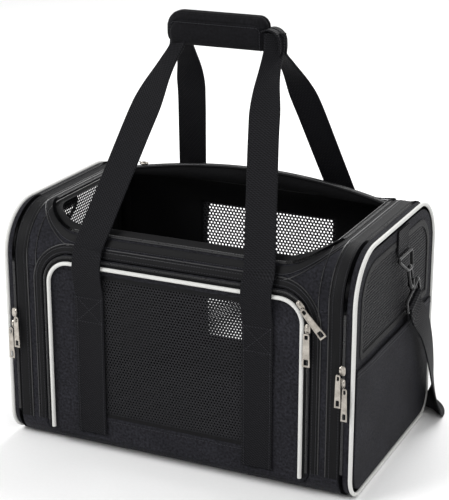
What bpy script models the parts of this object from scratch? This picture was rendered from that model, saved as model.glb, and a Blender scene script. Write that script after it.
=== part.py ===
"""Soft-sided pet transport carrier: a zipped fabric body with three zipped doors, two webbing
handles that meet in a padded grip, and a shoulder strap hooked to a D-ring on each end.

Metres. +X runs along the length to the right end, -Y is the front and +Z is up. The origin is on
the floor, at the middle of the bottom. Open with: blender --background --python part.py
"""

import math

import bmesh
import bpy
from mathutils import Matrix, Vector

# Driving dimensions
LENGTH = 0.445  # over the two end panels
WIDTH = 0.280
HEIGHT = 0.294  # without the handles
TOP_R = 0.060  # the shoulders, seen from an end
BOTTOM_R = 0.030
FABRIC = 0.0024  # foam-backed body fabric
MESH = 0.0008
WEBBING = 0.0020
STRAP_W = 0.038
CLEAR = 0.0003  # between pieces that touch on the real carrier
SEAM = 0.0008  # between the body's sewn panels, whose edges lean a little

# The body tube, and the end doors that zip onto it
BODY_X = 0.2085
DOOR_X = 0.2098  # where a door's lip begins
END_X = LENGTH / 2
REBATE = 0.0035  # the corner that the piping lies in
DOOR_BASE_Z = 0.0028
PIPING_R = 0.0024

# The opening for the front door, and the door in it
DOORWAY_X = 0.1725
DOORWAY_Z = (0.0150, 0.2485)
DOORWAY_R = 0.038
DOORWAY_FOOT_R = 0.014
DOOR_GAP = 0.0015
FRONT_WINDOW = (0.0945, 0.048, 0.229)  # half width, lower edge, upper edge
REAR_WINDOW = (0.0945, 0.048, 0.245)
WINDOW_R = 0.006

# The opening in the top
TOP_X = 0.185
TOP_Y = (-0.1245, 0.108)
TOP_FRONT_R = 0.055
TOP_REAR_R = 0.020

# Handles
STRAP_X = 0.108  # a strap's centre on the walls
STRAP_TOP_X = {"left": -0.064, "right": 0.068}  # and where it goes into the grip
SEWN_Z = (0.0252, 0.2025)
GRIP_X = (-0.073, 0.061)
GRIP_Z = (0.478, 0.523)
GRIP_DEPTH = 0.0150

# Zips
ZIP_R = 0.0012
SLIDER = (0.0070, 0.0028, 0.0115)  # across, out, along
PULL = (0.0012, 0.0390)  # its thickness and length
PULL_TAPER = 0.72  # the width of its head as a share of its foot's
FRONT_PULL_W = 0.0094
END_PULL_W = 0.0074
PULL_SHIFT = 0.0040  # two pulls that hang side by side are this far off their sliders' middles
PULL_AXIS_OUT = 0.0072  # from the fabric to a pull's hinge
SIDE_SLIDER_Z = 0.207
CORNER_ANGLE = math.radians(42)  # where the upper slider stands on the corner of the zip
END_SLIDER_Z = (0.1500, 0.1650)

# Shoulder strap hardware, in the plane of an end door
HOOK_Y = 0.014
HOOK_LEAN = math.radians(24)  # the strap draws the hook this far towards the rear
RING_X = 0.2315  # the bottom of the D-ring
TAB_Z = (0.2552, 0.2860)
RING_TOP = (0.2268, 0.2530)
RING_FOOT_Z = 0.2348
RING_HALF = 0.0225
RING_WIRE = 0.0018
HOOK_WIRE = 0.0016
HOOK_HALF = 0.0050
HOOK_Z = (0.2080, 0.2385)
GATE_Z = (0.2155, 0.2290)
LOOP_WIRE = 0.0017
LOOP_Z = (0.1830, 0.2010)
POCKET_TOP_Z = 0.161

# The shoulder strap's route: down the end door, round its rear corner and along the floor behind
DROP_ROUTE = (
    (0.2325, 0.0420, 0.1836),
    (0.2345, 0.0480, 0.1700),
    (0.2375, 0.0690, 0.1460),
    (0.2390, 0.0890, 0.1100),
    (0.2395, 0.1050, 0.0700),
    (0.2390, 0.1180, 0.0420),
    (0.2375, 0.1290, 0.0220),
)
RUN_ROUTE = (
    (0.2290, 0.1440, 0.0016),
    (0.2160, 0.1600, 0.0016),
    (0.1950, 0.1710, 0.0016),
    (0.1600, 0.1750, 0.0016),
    (0.0800, 0.1760, 0.0016),
)

ARC_STEPS = 8

MATERIALS = {
    "polyester": ((0.030, 0.030, 0.034), 0.85, 0.0),
    "webbing": ((0.014, 0.014, 0.016), 0.75, 0.0),
    "net": ((0.010, 0.010, 0.011), 0.80, 0.0),
    "piping": ((0.820, 0.820, 0.800), 0.55, 0.0),
    "nickel": ((0.620, 0.600, 0.570), 0.28, 1.0),
    "coated_metal": ((0.015, 0.015, 0.016), 0.30, 0.6),
    "nylon_zip": ((0.016, 0.016, 0.018), 0.50, 0.0),
    "fleece": ((0.400, 0.390, 0.370), 0.95, 0.0),
    "fibreboard": ((0.130, 0.100, 0.070), 0.80, 0.0),
}

for old in list(bpy.data.objects):
    bpy.data.objects.remove(old, do_unlink=True)


def collection(name):
    made = bpy.data.collections.new(name)
    bpy.context.scene.collection.children.link(made)
    return made


PARTS = collection("pet_transport_carrier")
CUTTERS = collection("cutters")


def material(name):
    if name in bpy.data.materials:
        return bpy.data.materials[name]
    colour, roughness, metallic = MATERIALS[name]
    made = bpy.data.materials.new(name)
    made.use_nodes = True
    shader = made.node_tree.nodes["Principled BSDF"]
    shader.inputs["Base Color"].default_value = (*colour, 1.0)
    shader.inputs["Roughness"].default_value = roughness
    shader.inputs["Metallic"].default_value = metallic
    return made


# Outlines, as lists of points in a plane


def arc(centre, radius, start, end, steps=ARC_STEPS):
    """Points on an arc, the angles in degrees."""
    turns = [math.radians(start + (end - start) * i / steps) for i in range(steps + 1)]
    return [(centre[0] + radius * math.cos(t), centre[1] + radius * math.sin(t)) for t in turns]


def rounded(low, high, radii, steps=5):
    """A rectangle with its own radius at each corner: upper right, upper left, lower left, lower right."""
    (a0, b0), (a1, b1) = low, high
    ur, ul, ll, lr = radii
    return (
        arc((a1 - ur, b1 - ur), ur, 0, 90, steps)
        + arc((a0 + ul, b1 - ul), ul, 90, 180, steps)
        + arc((a0 + ll, b0 + ll), ll, 180, 270, steps)
        + arc((a1 - lr, b0 + lr), lr, 270, 360, steps)
    )


def end_outline(inset, base=DOOR_BASE_Z):
    """The carrier seen from an end, drawn in from its outside by inset."""
    top, foot = TOP_R - inset, BOTTOM_R - inset
    low, high = (inset - WIDTH / 2, base + inset), (WIDTH / 2 - inset, HEIGHT - inset)
    return rounded(low, high, (top, top, foot, foot), ARC_STEPS)


# Making and placing solids


def place(made, name, finish, parent=None):
    made.name = name
    made.data.name = name
    made.data.materials.append(material(finish))
    if parent is not None:
        made.parent = parent
        made.matrix_parent_inverse = parent.matrix_world.inverted()
    return made


def mesh_object(name, shape, group=PARTS):
    """An object from a bmesh, its closed parts facing out."""
    bmesh.ops.recalc_face_normals(shape, faces=shape.faces)
    mesh = bpy.data.meshes.new(name)
    shape.to_mesh(mesh)
    shape.free()
    made = bpy.data.objects.new(name, mesh)
    group.objects.link(made)
    return made


def along(axis, point, depth):
    """A point of a plane outline, set at a depth along the axis across that plane."""
    a, b = point
    return {"X": (depth, a, b), "Y": (a, depth, b), "Z": (a, b, depth)}[axis]


def prism(name, outline, axis, low, high, group=PARTS):
    """An outline's face, extruded along an axis."""
    shape = bmesh.new()
    face = shape.faces.new([shape.verts.new(along(axis, p, low)) for p in outline])
    moved = bmesh.ops.extrude_face_region(shape, geom=[face])["geom"]
    shift = Vector(along(axis, (0, 0), high - low))
    bmesh.ops.translate(shape, vec=shift, verts=[v for v in moved if isinstance(v, bmesh.types.BMVert)])
    return mesh_object(name, shape, group)


def cutter(name, outline, axis, low, high):
    made = prism(name, outline, axis, low, high, CUTTERS)
    made.hide_render = True
    made.display_type = "WIRE"
    return made


def cut(made, *tools):
    for tool in tools:
        boolean = made.modifiers.new("cut_" + tool.name, "BOOLEAN")
        boolean.operation = "DIFFERENCE"
        boolean.solver = "EXACT"
        boolean.object = tool
    return made


def solidify(made, thickness, offset):
    skin = made.modifiers.new("thickness", "SOLIDIFY")
    skin.thickness = thickness
    skin.offset = offset
    skin.use_even_offset = True
    return made


def wall(name, outline, half_length):
    """A strip of the body's tube: an open outline in YZ carried along X, its thickness inwards."""
    shape = bmesh.new()
    rows = [[shape.verts.new((x, y, z)) for x in (-half_length, half_length)] for y, z in outline]
    for (a, b), (c, d) in zip(rows, rows[1:]):
        shape.faces.new((a, b, d, c))
    mesh = bpy.data.meshes.new(name)
    shape.to_mesh(mesh)
    shape.free()
    made = bpy.data.objects.new(name, mesh)
    PARTS.objects.link(made)
    return solidify(made, FABRIC, -1)


def strip(name, stations, width, thickness=WEBBING):
    """Webbing: a ribbon through stations of (point, direction across), thickened to both sides."""
    shape = bmesh.new()
    rows = []
    for point, across in stations:
        half = Vector(across).normalized() * width / 2
        rows.append([shape.verts.new(Vector(point) - half), shape.verts.new(Vector(point) + half)])
    for (a, b), (c, d) in zip(rows, rows[1:]):
        shape.faces.new((a, b, d, c))
    return solidify(mesh_object(name, shape), thickness, 0)


def tube(name, points, radius, closed=False, sides=2, radii=None):
    """A wire or cord: a curve with a round bevel and filled caps."""
    curve = bpy.data.curves.new(name, "CURVE")
    curve.dimensions = "3D"
    curve.bevel_depth = radius
    curve.bevel_resolution = sides
    curve.use_fill_caps = True
    spline = curve.splines.new("POLY")
    spline.points.add(len(points) - 1)
    spline.use_cyclic_u = closed
    for i, point in enumerate(points):
        spline.points[i].co = (*point, 1.0)
        spline.points[i].radius = radii[i] if radii else 1.0
    made = bpy.data.objects.new(name, curve)
    PARTS.objects.link(made)
    return made


def meshed(made):
    """A curve object turned into a mesh with welded caps, so that it can be cut or joined."""
    bpy.context.view_layer.update()
    ready = made.evaluated_get(bpy.context.evaluated_depsgraph_get())
    mesh = bpy.data.meshes.new_from_object(ready)
    shape = bmesh.new()
    shape.from_mesh(mesh)
    bmesh.ops.remove_doubles(shape, verts=shape.verts, dist=1e-6)
    shape.to_mesh(mesh)
    shape.free()
    name = made.name
    solid = bpy.data.objects.new(name + "_mesh", mesh)
    solid.matrix_world = made.matrix_world
    PARTS.objects.link(solid)
    bpy.data.objects.remove(made, do_unlink=True)
    solid.name = name
    return solid


def block(name, centre, size, edge=0.0006):
    """A box with small bevelled edges."""
    shape = bmesh.new()
    bmesh.ops.create_cube(shape, size=1.0)
    bmesh.ops.scale(shape, vec=size, verts=shape.verts)
    bmesh.ops.translate(shape, vec=centre, verts=shape.verts)
    made = mesh_object(name, shape)
    if edge:
        bevel = made.modifiers.new("edges", "BEVEL")
        bevel.width = edge
        bevel.segments = 1
    return made


def pivot(name, at, parent=None):
    """An empty on a joint's axis, which the moving pieces hang from."""
    empty = bpy.data.objects.new(name, None)
    empty.empty_display_size = 0.02
    empty.location = at
    PARTS.objects.link(empty)
    bpy.context.view_layer.update()
    if parent is not None:
        empty.parent = parent
        empty.matrix_parent_inverse = parent.matrix_world.inverted()
        bpy.context.view_layer.update()
    return empty


# The fixed body


def doorway_cutter():
    radii = (DOORWAY_R, DOORWAY_R, DOORWAY_FOOT_R, DOORWAY_FOOT_R)
    outline = rounded((-DOORWAY_X, DOORWAY_Z[0]), (DOORWAY_X, DOORWAY_Z[1]), radii, ARC_STEPS)
    return cutter("doorway", outline, "Y", -0.160, -0.120)


def top_cutter():
    radii = (TOP_REAR_R, TOP_REAR_R, TOP_FRONT_R, TOP_FRONT_R)
    outline = rounded((-TOP_X, TOP_Y[0]), (TOP_X, TOP_Y[1]), radii, ARC_STEPS)
    return cutter("top_opening", outline, "Z", 0.250, 0.320)


def window_cutter(name, window, low, high):
    half, foot, top = window
    outline = rounded((-half, foot), (half, top), [WINDOW_R] * 4, 3)
    return cutter(name, outline, "Y", low, high)


def window_net(name, window, y, parent=None):
    half, foot, top = window
    outline = rounded((CLEAR - half, foot + CLEAR), (half - CLEAR, top - CLEAR), [WINDOW_R - CLEAR] * 4, 3)
    return place(prism(name, outline, "Y", y, y + MESH), name, "net", parent)


def fixed_body():
    side_y = WIDTH / 2
    shoulder = side_y - TOP_R
    crown = HEIGHT - TOP_R
    foot_y = side_y - BOTTOM_R
    doorway, top = doorway_cutter(), top_cutter()

    tray = arc((foot_y, BOTTOM_R), BOTTOM_R, 0, -90, 5) + arc((-foot_y, BOTTOM_R), BOTTOM_R, 270, 180, 5)
    place(cut(wall("floor_panel", tray, BODY_X), doorway), "floor_panel", "polyester")

    front = [(-side_y, BOTTOM_R + SEAM)] + arc((-shoulder, crown), TOP_R, 180, 90) + [(-CLEAR, HEIGHT)]
    place(cut(wall("front_surround", front, BODY_X), doorway, top), "front_surround", "polyester")

    window_turn = 20  # degrees up the rear shoulder to where the rear wall's panel ends
    turn_gap = math.degrees(SEAM / TOP_R)
    rear = [(CLEAR, HEIGHT)] + arc((shoulder, crown), TOP_R, 90, window_turn + turn_gap, 7)
    place(cut(wall("rear_shoulder", rear, BODY_X), top), "rear_shoulder", "polyester")

    back = arc((shoulder, crown), TOP_R, window_turn, 0, 2) + [(side_y, BOTTOM_R + SEAM)]
    window = window_cutter("rear_window", REAR_WINDOW, 0.125, 0.150)
    place(cut(wall("rear_wall", back, BODY_X), window), "rear_wall", "polyester")
    window_net("rear_mesh", REAR_WINDOW, side_y - 0.0020)

    board = (0.404, 0.222, 0.0030)
    board_z = FABRIC + CLEAR + board[2] / 2
    place(block("base_board", (0, 0, board_z), board), "base_board", "fibreboard")
    mat = (0.396, 0.238, 0.0120)
    mat_z = board_z + board[2] / 2 + CLEAR + mat[2] / 2
    place(block("pet_mat", (0, 0, mat_z), mat, 0.004), "pet_mat", "fleece")

    for side, x in (("left", -STRAP_X), ("right", STRAP_X)):
        sewn_strap(f"rear_{side}_sewn_strap", x, side_y + CLEAR + WEBBING / 2)


def sewn_strap(name, x, y, parent=None):
    stations = [((x, y, z), (1, 0, 0)) for z in SEWN_Z]
    place(strip(name, stations, STRAP_W), name, "webbing", parent)


# The rolled-up top flap


def top_flap():
    """The flap rolled up along the rear edge of the opening: thin at its ends, thick in the middle,
    and bowed, with its ends drawn forward."""
    half, thin, thick, bow, seam_z = 0.180, 0.0030, 0.0126, 0.0280, 0.2868
    seam_y = TOP_Y[1] - 0.0020
    hinge = pivot("top_flap_hinge", (0, seam_y, seam_z))
    steps = 14
    points, radii = [], []
    for i in range(steps + 1):
        x = half * (2 * i / steps - 1)
        r = thin + (thick - thin) * max(0.0, math.cos(math.pi / 2 * x / half)) ** 0.8
        points.append((x, seam_y - r - bow * (x / half) ** 2, seam_z + r))
        radii.append(r)
    roll = tube("top_flap_roll", points, 1.0, sides=3, radii=radii)
    place(roll, "top_flap_roll", "net", hinge)
    tag = block("top_flap_zip_pull", (-0.150, 0.0803, 0.3024), (0.0110, 0.0090, 0.0050), 0.0012)
    place(tag, "top_flap_zip_pull", "nickel", hinge)


# Zip sliders and their pulls


def zip_slider(name, at, turn, parent, width, shift=0.0):
    """A slider on the front face at a point of the zip, turned by turn about Y, and its pull, which
    hangs along the zip on a hinge at the slider's nose, shift to the right of the slider's middle."""
    turned = Matrix.Rotation(turn, 4, "Y")
    across, out, length = SLIDER
    face = -(2 * ZIP_R + 2 * CLEAR)
    seat = pivot(name + "_seat", at, parent)
    slider = block(name, (0, face - out / 2, 0), SLIDER, 0.0008)
    slider.matrix_world = Matrix.Translation(at) @ turned
    bpy.context.view_layer.update()
    place(slider, name, "nickel", seat)

    hinge_at = Vector(at) + turned @ Vector((shift, -PULL_AXIS_OUT, 0.0010 - length / 2))
    pull_name = name.replace("slider", "pull")
    half, (thick, drop) = width / 2, PULL
    outline = rounded((-half, -drop), (half, thick / 2), (0.0005, 0.0005, 0.0023, 0.0023), 3)
    outline = [(x * (PULL_TAPER + (1 - PULL_TAPER) * max(0.0, -z / drop)), z) for x, z in outline]
    pull = prism(pull_name, outline, "Y", -thick / 2, thick / 2)
    slot = rounded((0.0016 - half, 0.0020 - drop), (half - 0.0016, 0.0090 - drop), [0.0008] * 4, 2)
    hole = cutter(pull_name + "_hole", slot, "Y", -0.004, 0.004)
    for made in (pull, hole):
        made.matrix_world = Matrix.Translation(hinge_at) @ turned
    cut(pull, hole)
    bpy.context.view_layer.update()
    place(pull, pull_name, "nickel", slider)
    return slider


# The front door and its handle


def front_door():
    side_y = WIDTH / 2
    half = DOORWAY_X - DOOR_GAP
    foot, top = DOORWAY_Z[0] + DOOR_GAP, DOORWAY_Z[1] - DOOR_GAP
    hinge = pivot("front_door_hinge", (0, -side_y, foot - 0.0007))
    radius = DOORWAY_R - DOOR_GAP
    radii = (radius, radius, 0.0125, 0.0125)
    outline = rounded((-half, foot), (half, top), radii, ARC_STEPS)
    panel = prism("front_door_panel", outline, "Y", -side_y, FABRIC - side_y)
    window = window_cutter("front_window", FRONT_WINDOW, -0.150, -0.130)
    place(cut(panel, window), "front_door_panel", "polyester", hinge)
    window_net("front_door_mesh", FRONT_WINDOW, 0.0008 - side_y, hinge)

    inset = 0.0090
    piping_y = -side_y - CLEAR - PIPING_R
    bend = radius - inset
    piped = [(half - inset, foot + 0.0045)]
    piped += arc((half - inset - bend, top - inset - bend), bend, 0, 90, 6)
    piped += arc((inset - half + bend, top - inset - bend), bend, 90, 180, 6)
    piped += [(inset - half, foot + 0.0045)]
    piping = tube("front_door_piping", [(x, piping_y, z) for x, z in piped], PIPING_R)
    place(piping, "front_door_piping", "piping", hinge)

    edge = 0.0020
    zip_y = -side_y - CLEAR - ZIP_R
    corner = radius - edge
    centre_x, centre_z = half - radius, top - radius
    route = (
        [(half - edge, foot + 0.014)]
        + arc((centre_x, centre_z), corner, 0, 90)
        + arc((-centre_x, centre_z), corner, 90, 180)
        + [(edge - half, foot + 0.014)]
    )
    chain = tube("front_door_zip", [(x, zip_y, z) for x, z in route], ZIP_R)
    place(chain, "front_door_zip", "nylon_zip", hinge)

    for side, x in (("left", -STRAP_X), ("right", STRAP_X)):
        sewn_strap(f"front_{side}_sewn_strap", x, -side_y - CLEAR - WEBBING / 2, hinge)
    handle("front", -1, hinge)

    corner_x = centre_x + corner * math.cos(CORNER_ANGLE)
    corner_z = centre_z + corner * math.sin(CORNER_ANGLE)
    turn_centre = pivot("front_corner_turn", (centre_x, -side_y, centre_z), hinge)
    at = (corner_x, -side_y, corner_z)
    zip_slider("front_corner_zip_slider", at, -CORNER_ANGLE, turn_centre, FRONT_PULL_W)
    at = (half - edge, -side_y, SIDE_SLIDER_Z)
    zip_slider("front_side_zip_slider", at, 0.0, hinge, FRONT_PULL_W)


def handle(face, sign, parent=None):
    """A handle's two webbing legs and its half of the padded grip. sign is -1 at the front. A leg
    leaves the wall, passes over the piping, lies on the shoulder and leans back to the grip."""
    hinge = pivot(face + "_handle_hinge", (0, sign * 0.1425, 0.2050), parent)
    bow = (
        (0.1413, 0.2065),
        (0.1440, 0.2150),
        (0.1466, 0.2270),
        (0.1470, 0.2400),
        (0.1436, 0.2520),
        (0.1375, 0.2640),
    )
    lean = ((0.1200, 0.2990), (0.0700, 0.3980), (0.0300, 0.4620), (0.0100, 0.4755))
    rise = GRIP_Z[0] - bow[-1][1]
    for side, foot_x in (("left", -STRAP_X), ("right", STRAP_X)):
        stations = []
        for y, z in bow + lean:
            share = max(0.0, (z - bow[-1][1]) / rise)
            stations.append(((foot_x + (STRAP_TOP_X[side] - foot_x) * share, sign * y, z), (1, 0, 0)))
        name = f"{face}_{side}_handle_leg"
        place(strip(name, stations, STRAP_W), name, "webbing", hinge)

    middle = sum(GRIP_Z) / 2
    half_z = (GRIP_Z[1] - GRIP_Z[0]) / 2
    flat = 0.0004
    dome = arc((0, 0), 1.0, -90, 90, 8)
    outline = [(sign * (flat + GRIP_DEPTH * max(0.0, a) ** 0.7), middle + half_z * b) for a, b in dome]
    grip = prism(face + "_grip_pad", outline, "X", *GRIP_X)
    place(grip, face + "_grip_pad", "polyester", hinge)


# The end doors, with the shoulder strap's hardware


def tray_shape(name, side):
    """An end door's shell: a flat panel with a lip back over the zip and a rebate for the piping.
    Rings of one outline at different insets are joined in turn, and each end ring is a face."""
    panel_in = END_X - FABRIC
    rings = (
        (panel_in, FABRIC),
        (DOOR_X, FABRIC),
        (DOOR_X, 0.0),
        (END_X - REBATE, 0.0),
        (END_X - REBATE, REBATE),
        (END_X, REBATE),
    )
    shape = bmesh.new()
    made = [[shape.verts.new((side * x, y, z)) for y, z in end_outline(inset)] for x, inset in rings]
    for a, b in zip(made, made[1:]):
        for i in range(len(a)):
            j = (i + 1) % len(a)
            shape.faces.new((a[i], a[j], b[j], b[i]))
    shape.faces.new(made[0])
    shape.faces.new(made[-1])
    return mesh_object(name, shape)


def end_window(inset):
    """The upper window of an end door, whose upper corners follow the shoulders."""
    y, foot, top = 0.118 - inset, POCKET_TOP_Z + 0.010 + inset, HEIGHT - 0.022 - inset
    shoulder = 0.040 - inset
    return rounded((-y, foot), (y, top), (shoulder, shoulder, WINDOW_R, WINDOW_R), 6)


def end_door(word, side):
    hinge = pivot(word + "_door_hinge", (side * 0.2092, WIDTH / 2, 0))
    window = cutter(word + "_window", end_window(0), "X", *sorted((side * 0.200, side * 0.240)))
    panel = cut(tray_shape(word + "_door_panel", side), window)
    place(panel, word + "_door_panel", "polyester", hinge)
    net = prism(word + "_door_mesh", end_window(CLEAR), "X", *sorted((side * 0.2208, side * (0.2208 + MESH))))
    place(net, word + "_door_mesh", "net", hinge)

    piping = [(side * (END_X - 0.0005), y, z) for y, z in end_outline(0.0005)]
    place(tube(word + "_door_piping", piping, PIPING_R, closed=True), word + "_door_piping", "piping", hinge)

    pocket_inset = 0.0075
    pocket = rounded(
        (pocket_inset - WIDTH / 2, DOOR_BASE_Z + pocket_inset),
        (WIDTH / 2 - pocket_inset, POCKET_TOP_Z),
        (0.001, 0.001, BOTTOM_R - pocket_inset, BOTTOM_R - pocket_inset),
        4,
    )
    depth = sorted((side * (END_X + CLEAR), side * (END_X + 0.0015)))
    sheet = prism(word + "_door_pocket", pocket, "X", *depth)
    place(sheet, word + "_door_pocket", "polyester", hinge)

    out = CLEAR + ZIP_R
    shoulder, crown, foot_y = WIDTH / 2 - TOP_R, HEIGHT - TOP_R, WIDTH / 2 - BOTTOM_R
    route = (
        [(foot_y, DOOR_BASE_Z - out)]
        + arc((-foot_y, DOOR_BASE_Z + BOTTOM_R), BOTTOM_R + out, 270, 180)
        + arc((-shoulder, crown), TOP_R + out, 180, 90)
        + arc((shoulder, crown), TOP_R + out, 90, 0)
    )
    zip_x = side * (DOOR_X + 0.0015)
    chain = tube(word + "_door_zip", [(zip_x, y, z) for y, z in route], ZIP_R)
    place(chain, word + "_door_zip", "nylon_zip", hinge)
    for level, z, shift in zip(("lower", "upper"), END_SLIDER_Z, (PULL_SHIFT, -PULL_SHIFT)):
        at = (zip_x, -WIDTH / 2, z)
        zip_slider(f"{word}_{level}_zip_slider", at, 0.0, hinge, END_PULL_W, side * shift)

    tab_x = side * (END_X + CLEAR + WEBBING / 2)
    tab = [((tab_x, HOOK_Y, z), (0, 1, 0)) for z in TAB_Z]
    place(strip(word + "_ring_tab", tab, STRAP_W), word + "_ring_tab", "webbing", hinge)
    strap_hardware(word, side, hinge)
    drop = strap_stations(side, DROP_ROUTE, twist_to=34)
    place(strip(word + "_strap_drop", drop, STRAP_W), word + "_strap_drop", "webbing", hinge)


def strap_hardware(word, side, parent):
    """A D-ring on its tab, a snap hook in the ring with a sprung gate, and the swivel loop below
    it that holds the strap. The hook and what hangs on it lean about the foot of the ring."""
    foot_y = HOOK_Y + 0.005
    lean = Matrix.Rotation(HOOK_LEAN, 3, "X")

    def hung(x, y, z):
        """A point given as out of the ring's plane, across, and up from the ring's foot."""
        return Vector((side * (RING_X + x), foot_y, RING_FOOT_Z)) + lean @ Vector((0, y, z))

    ring_pivot = pivot(word + "_d_ring_hinge", (side * RING_TOP[0], HOOK_Y, RING_TOP[1]), parent)
    slope = (RING_X - RING_TOP[0]) / (RING_TOP[1] - RING_FOOT_Z)
    foot = 0.006  # half width of the rounded foot
    shoulder_z, bend_z = RING_TOP[1] - 0.003, RING_FOOT_Z + 0.0022
    half = [(RING_HALF, shoulder_z), (RING_HALF, RING_TOP[1])]
    shape = half + [(-y, z) for y, z in reversed(half)]
    shape += [(0.001 - foot, bend_z), (0.005 - foot, RING_FOOT_Z)]
    shape += [(0.005 + foot, RING_FOOT_Z), (0.009 + foot, bend_z)]
    points = [(side * (RING_TOP[0] + slope * (RING_TOP[1] - z)), HOOK_Y + y, z) for y, z in shape]
    ring = tube(word + "_d_ring", points, RING_WIRE, closed=True)
    place(ring, word + "_d_ring", "coated_metal", ring_pivot)

    hook_pivot = pivot(word + "_hook_hinge", hung(0, 0, 0), ring_pivot)
    low, high = HOOK_Z[0] + HOOK_HALF - RING_FOOT_Z, HOOK_Z[1] - HOOK_HALF - RING_FOOT_Z
    gate_z = [z - RING_FOOT_Z for z in GATE_Z]
    bend = (
        [(HOOK_HALF, gate_z[0] - 0.0016)]
        + arc((0, low), HOOK_HALF, 0, -180, 6)
        + arc((0, high), HOOK_HALF, 180, 20, 6)
    )
    hook = tube(word + "_snap_hook", [hung(x, 0, z) for x, z in bend], HOOK_WIRE)
    place(hook, word + "_snap_hook", "coated_metal", hook_pivot)

    gate_pivot = pivot(word + "_gate_hinge", hung(HOOK_HALF, 0, gate_z[0]), hook_pivot)
    gate = tube(word + "_hook_gate", [hung(HOOK_HALF, 0, z) for z in (gate_z[0] + 0.0002, gate_z[1])], 0.0012)
    place(gate, word + "_hook_gate", "coated_metal", gate_pivot)

    loop_z = [z - RING_FOOT_Z for z in LOOP_Z]
    swivel = pivot(word + "_swivel", hung(0, 0, loop_z[1]), hook_pivot)
    frame = rounded((-RING_HALF, loop_z[0]), (RING_HALF, loop_z[1]), [0.003] * 4, 3)
    loop = meshed(tube(word + "_strap_loop", [hung(0, y, z) for y, z in frame], LOOP_WIRE, closed=True))
    top = HOOK_Z[0] - HOOK_WIRE - CLEAR - RING_FOOT_Z
    barrel = meshed(tube(word + "_barrel", [hung(0, 0, loop_z[1] - 0.0005), hung(0, 0, top)], 0.0032))
    PARTS.objects.unlink(barrel)
    CUTTERS.objects.link(barrel)
    barrel.hide_render = True
    barrel.display_type = "WIRE"
    join = loop.modifiers.new("barrel", "BOOLEAN")
    join.operation = "UNION"
    join.solver = "EXACT"
    join.object = barrel
    place(loop, word + "_strap_loop", "coated_metal", swivel)


# The shoulder strap


def smooth(route, per_span=3):
    """Points on the smooth curve through a route's own points."""
    points = [Vector(p) for p in route]
    ends = [2 * points[0] - points[1]] + points + [2 * points[-1] - points[-2]]
    out = []
    for a, b, c, d in zip(ends, ends[1:], ends[2:], ends[3:]):
        slope, curl, tail = c - a, 2 * a - 5 * b + 4 * c - d, 3 * b - 3 * c + d - a
        for i in range(per_span):
            t = i / per_span
            out.append(b + (slope * t + curl * t**2 + tail * t**3) / 2)
    return out + [points[-1]]


def strap_stations(side, route, twist_to=0.0):
    """Stations of a strap that lies flat on the end door. Its width stays square to its route, and
    it twists outwards by up to twist_to degrees towards its end."""
    points = [Vector((side * p.x, p.y, p.z)) for p in smooth(route)]
    stations = []
    for i, point in enumerate(points):
        before, after = points[max(0, i - 1)], points[min(len(points) - 1, i + 1)]
        ahead = (after - before).normalized()
        across = ahead.cross(Vector((side, 0, 0))).normalized()
        share = (i / (len(points) - 1)) ** 2
        turn = Matrix.Rotation(-side * math.radians(twist_to * share), 3, ahead)
        stations.append((point, turn @ across))
    return stations


def strap_on_floor():
    """The strap's run along the floor behind the body, from one rear corner to the other."""
    right = smooth(RUN_ROUTE)
    points = right + [Vector((-p.x, p.y, p.z)) for p in reversed(right)]
    stations = []
    for i, point in enumerate(points):
        before, after = points[max(0, i - 1)], points[min(len(points) - 1, i + 1)]
        across = (after - before).cross(Vector((0, 0, 1))).normalized()
        stations.append((point, across))
    place(strip("strap_floor_run", stations, STRAP_W, 0.0018), "strap_floor_run", "webbing")
    buckle = block("strap_adjuster", (-0.040, 0.176, 0.0048), (0.022, 0.048, 0.0034), 0.0010)
    place(buckle, "strap_adjuster", "coated_metal")


fixed_body()
top_flap()
front_door()
handle("rear", 1)
end_door("right", 1)
end_door("left", -1)
strap_on_floor()
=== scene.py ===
"""The looks of a soft-sided pet carrier: woven cloth shell, nets, zips, piping, webbing and fittings.

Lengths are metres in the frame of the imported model: X to the right, Y to the rear, Z up.
"""

import math

import bpy
import numpy as np
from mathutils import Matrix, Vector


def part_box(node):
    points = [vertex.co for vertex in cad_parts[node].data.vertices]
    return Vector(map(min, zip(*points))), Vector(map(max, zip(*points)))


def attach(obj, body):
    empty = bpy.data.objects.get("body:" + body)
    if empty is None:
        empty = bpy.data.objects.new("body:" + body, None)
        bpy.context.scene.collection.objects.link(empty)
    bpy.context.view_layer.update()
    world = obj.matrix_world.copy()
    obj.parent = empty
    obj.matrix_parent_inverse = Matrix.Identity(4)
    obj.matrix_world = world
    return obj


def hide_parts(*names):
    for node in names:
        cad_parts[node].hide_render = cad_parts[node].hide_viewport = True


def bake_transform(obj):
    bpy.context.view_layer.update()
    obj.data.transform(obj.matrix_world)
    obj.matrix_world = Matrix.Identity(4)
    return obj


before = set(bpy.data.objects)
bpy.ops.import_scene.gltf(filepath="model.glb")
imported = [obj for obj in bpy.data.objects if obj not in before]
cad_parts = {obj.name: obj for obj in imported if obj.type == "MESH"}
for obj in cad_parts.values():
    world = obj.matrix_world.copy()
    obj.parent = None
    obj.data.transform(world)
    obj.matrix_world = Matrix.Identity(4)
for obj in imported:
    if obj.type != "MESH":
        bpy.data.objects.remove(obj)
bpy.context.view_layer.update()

bl_info = {
    "name": "Pet Carrier",
    "version": (1, 0, 0),
    "blender": (4, 5, 0),
    "location": "3D View > Sidebar > Carrier",
    "description": "Makes a soft-sided pet carrier's cloth, nets, zips, straps and fittings",
    "category": "Add Mesh",
}

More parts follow.
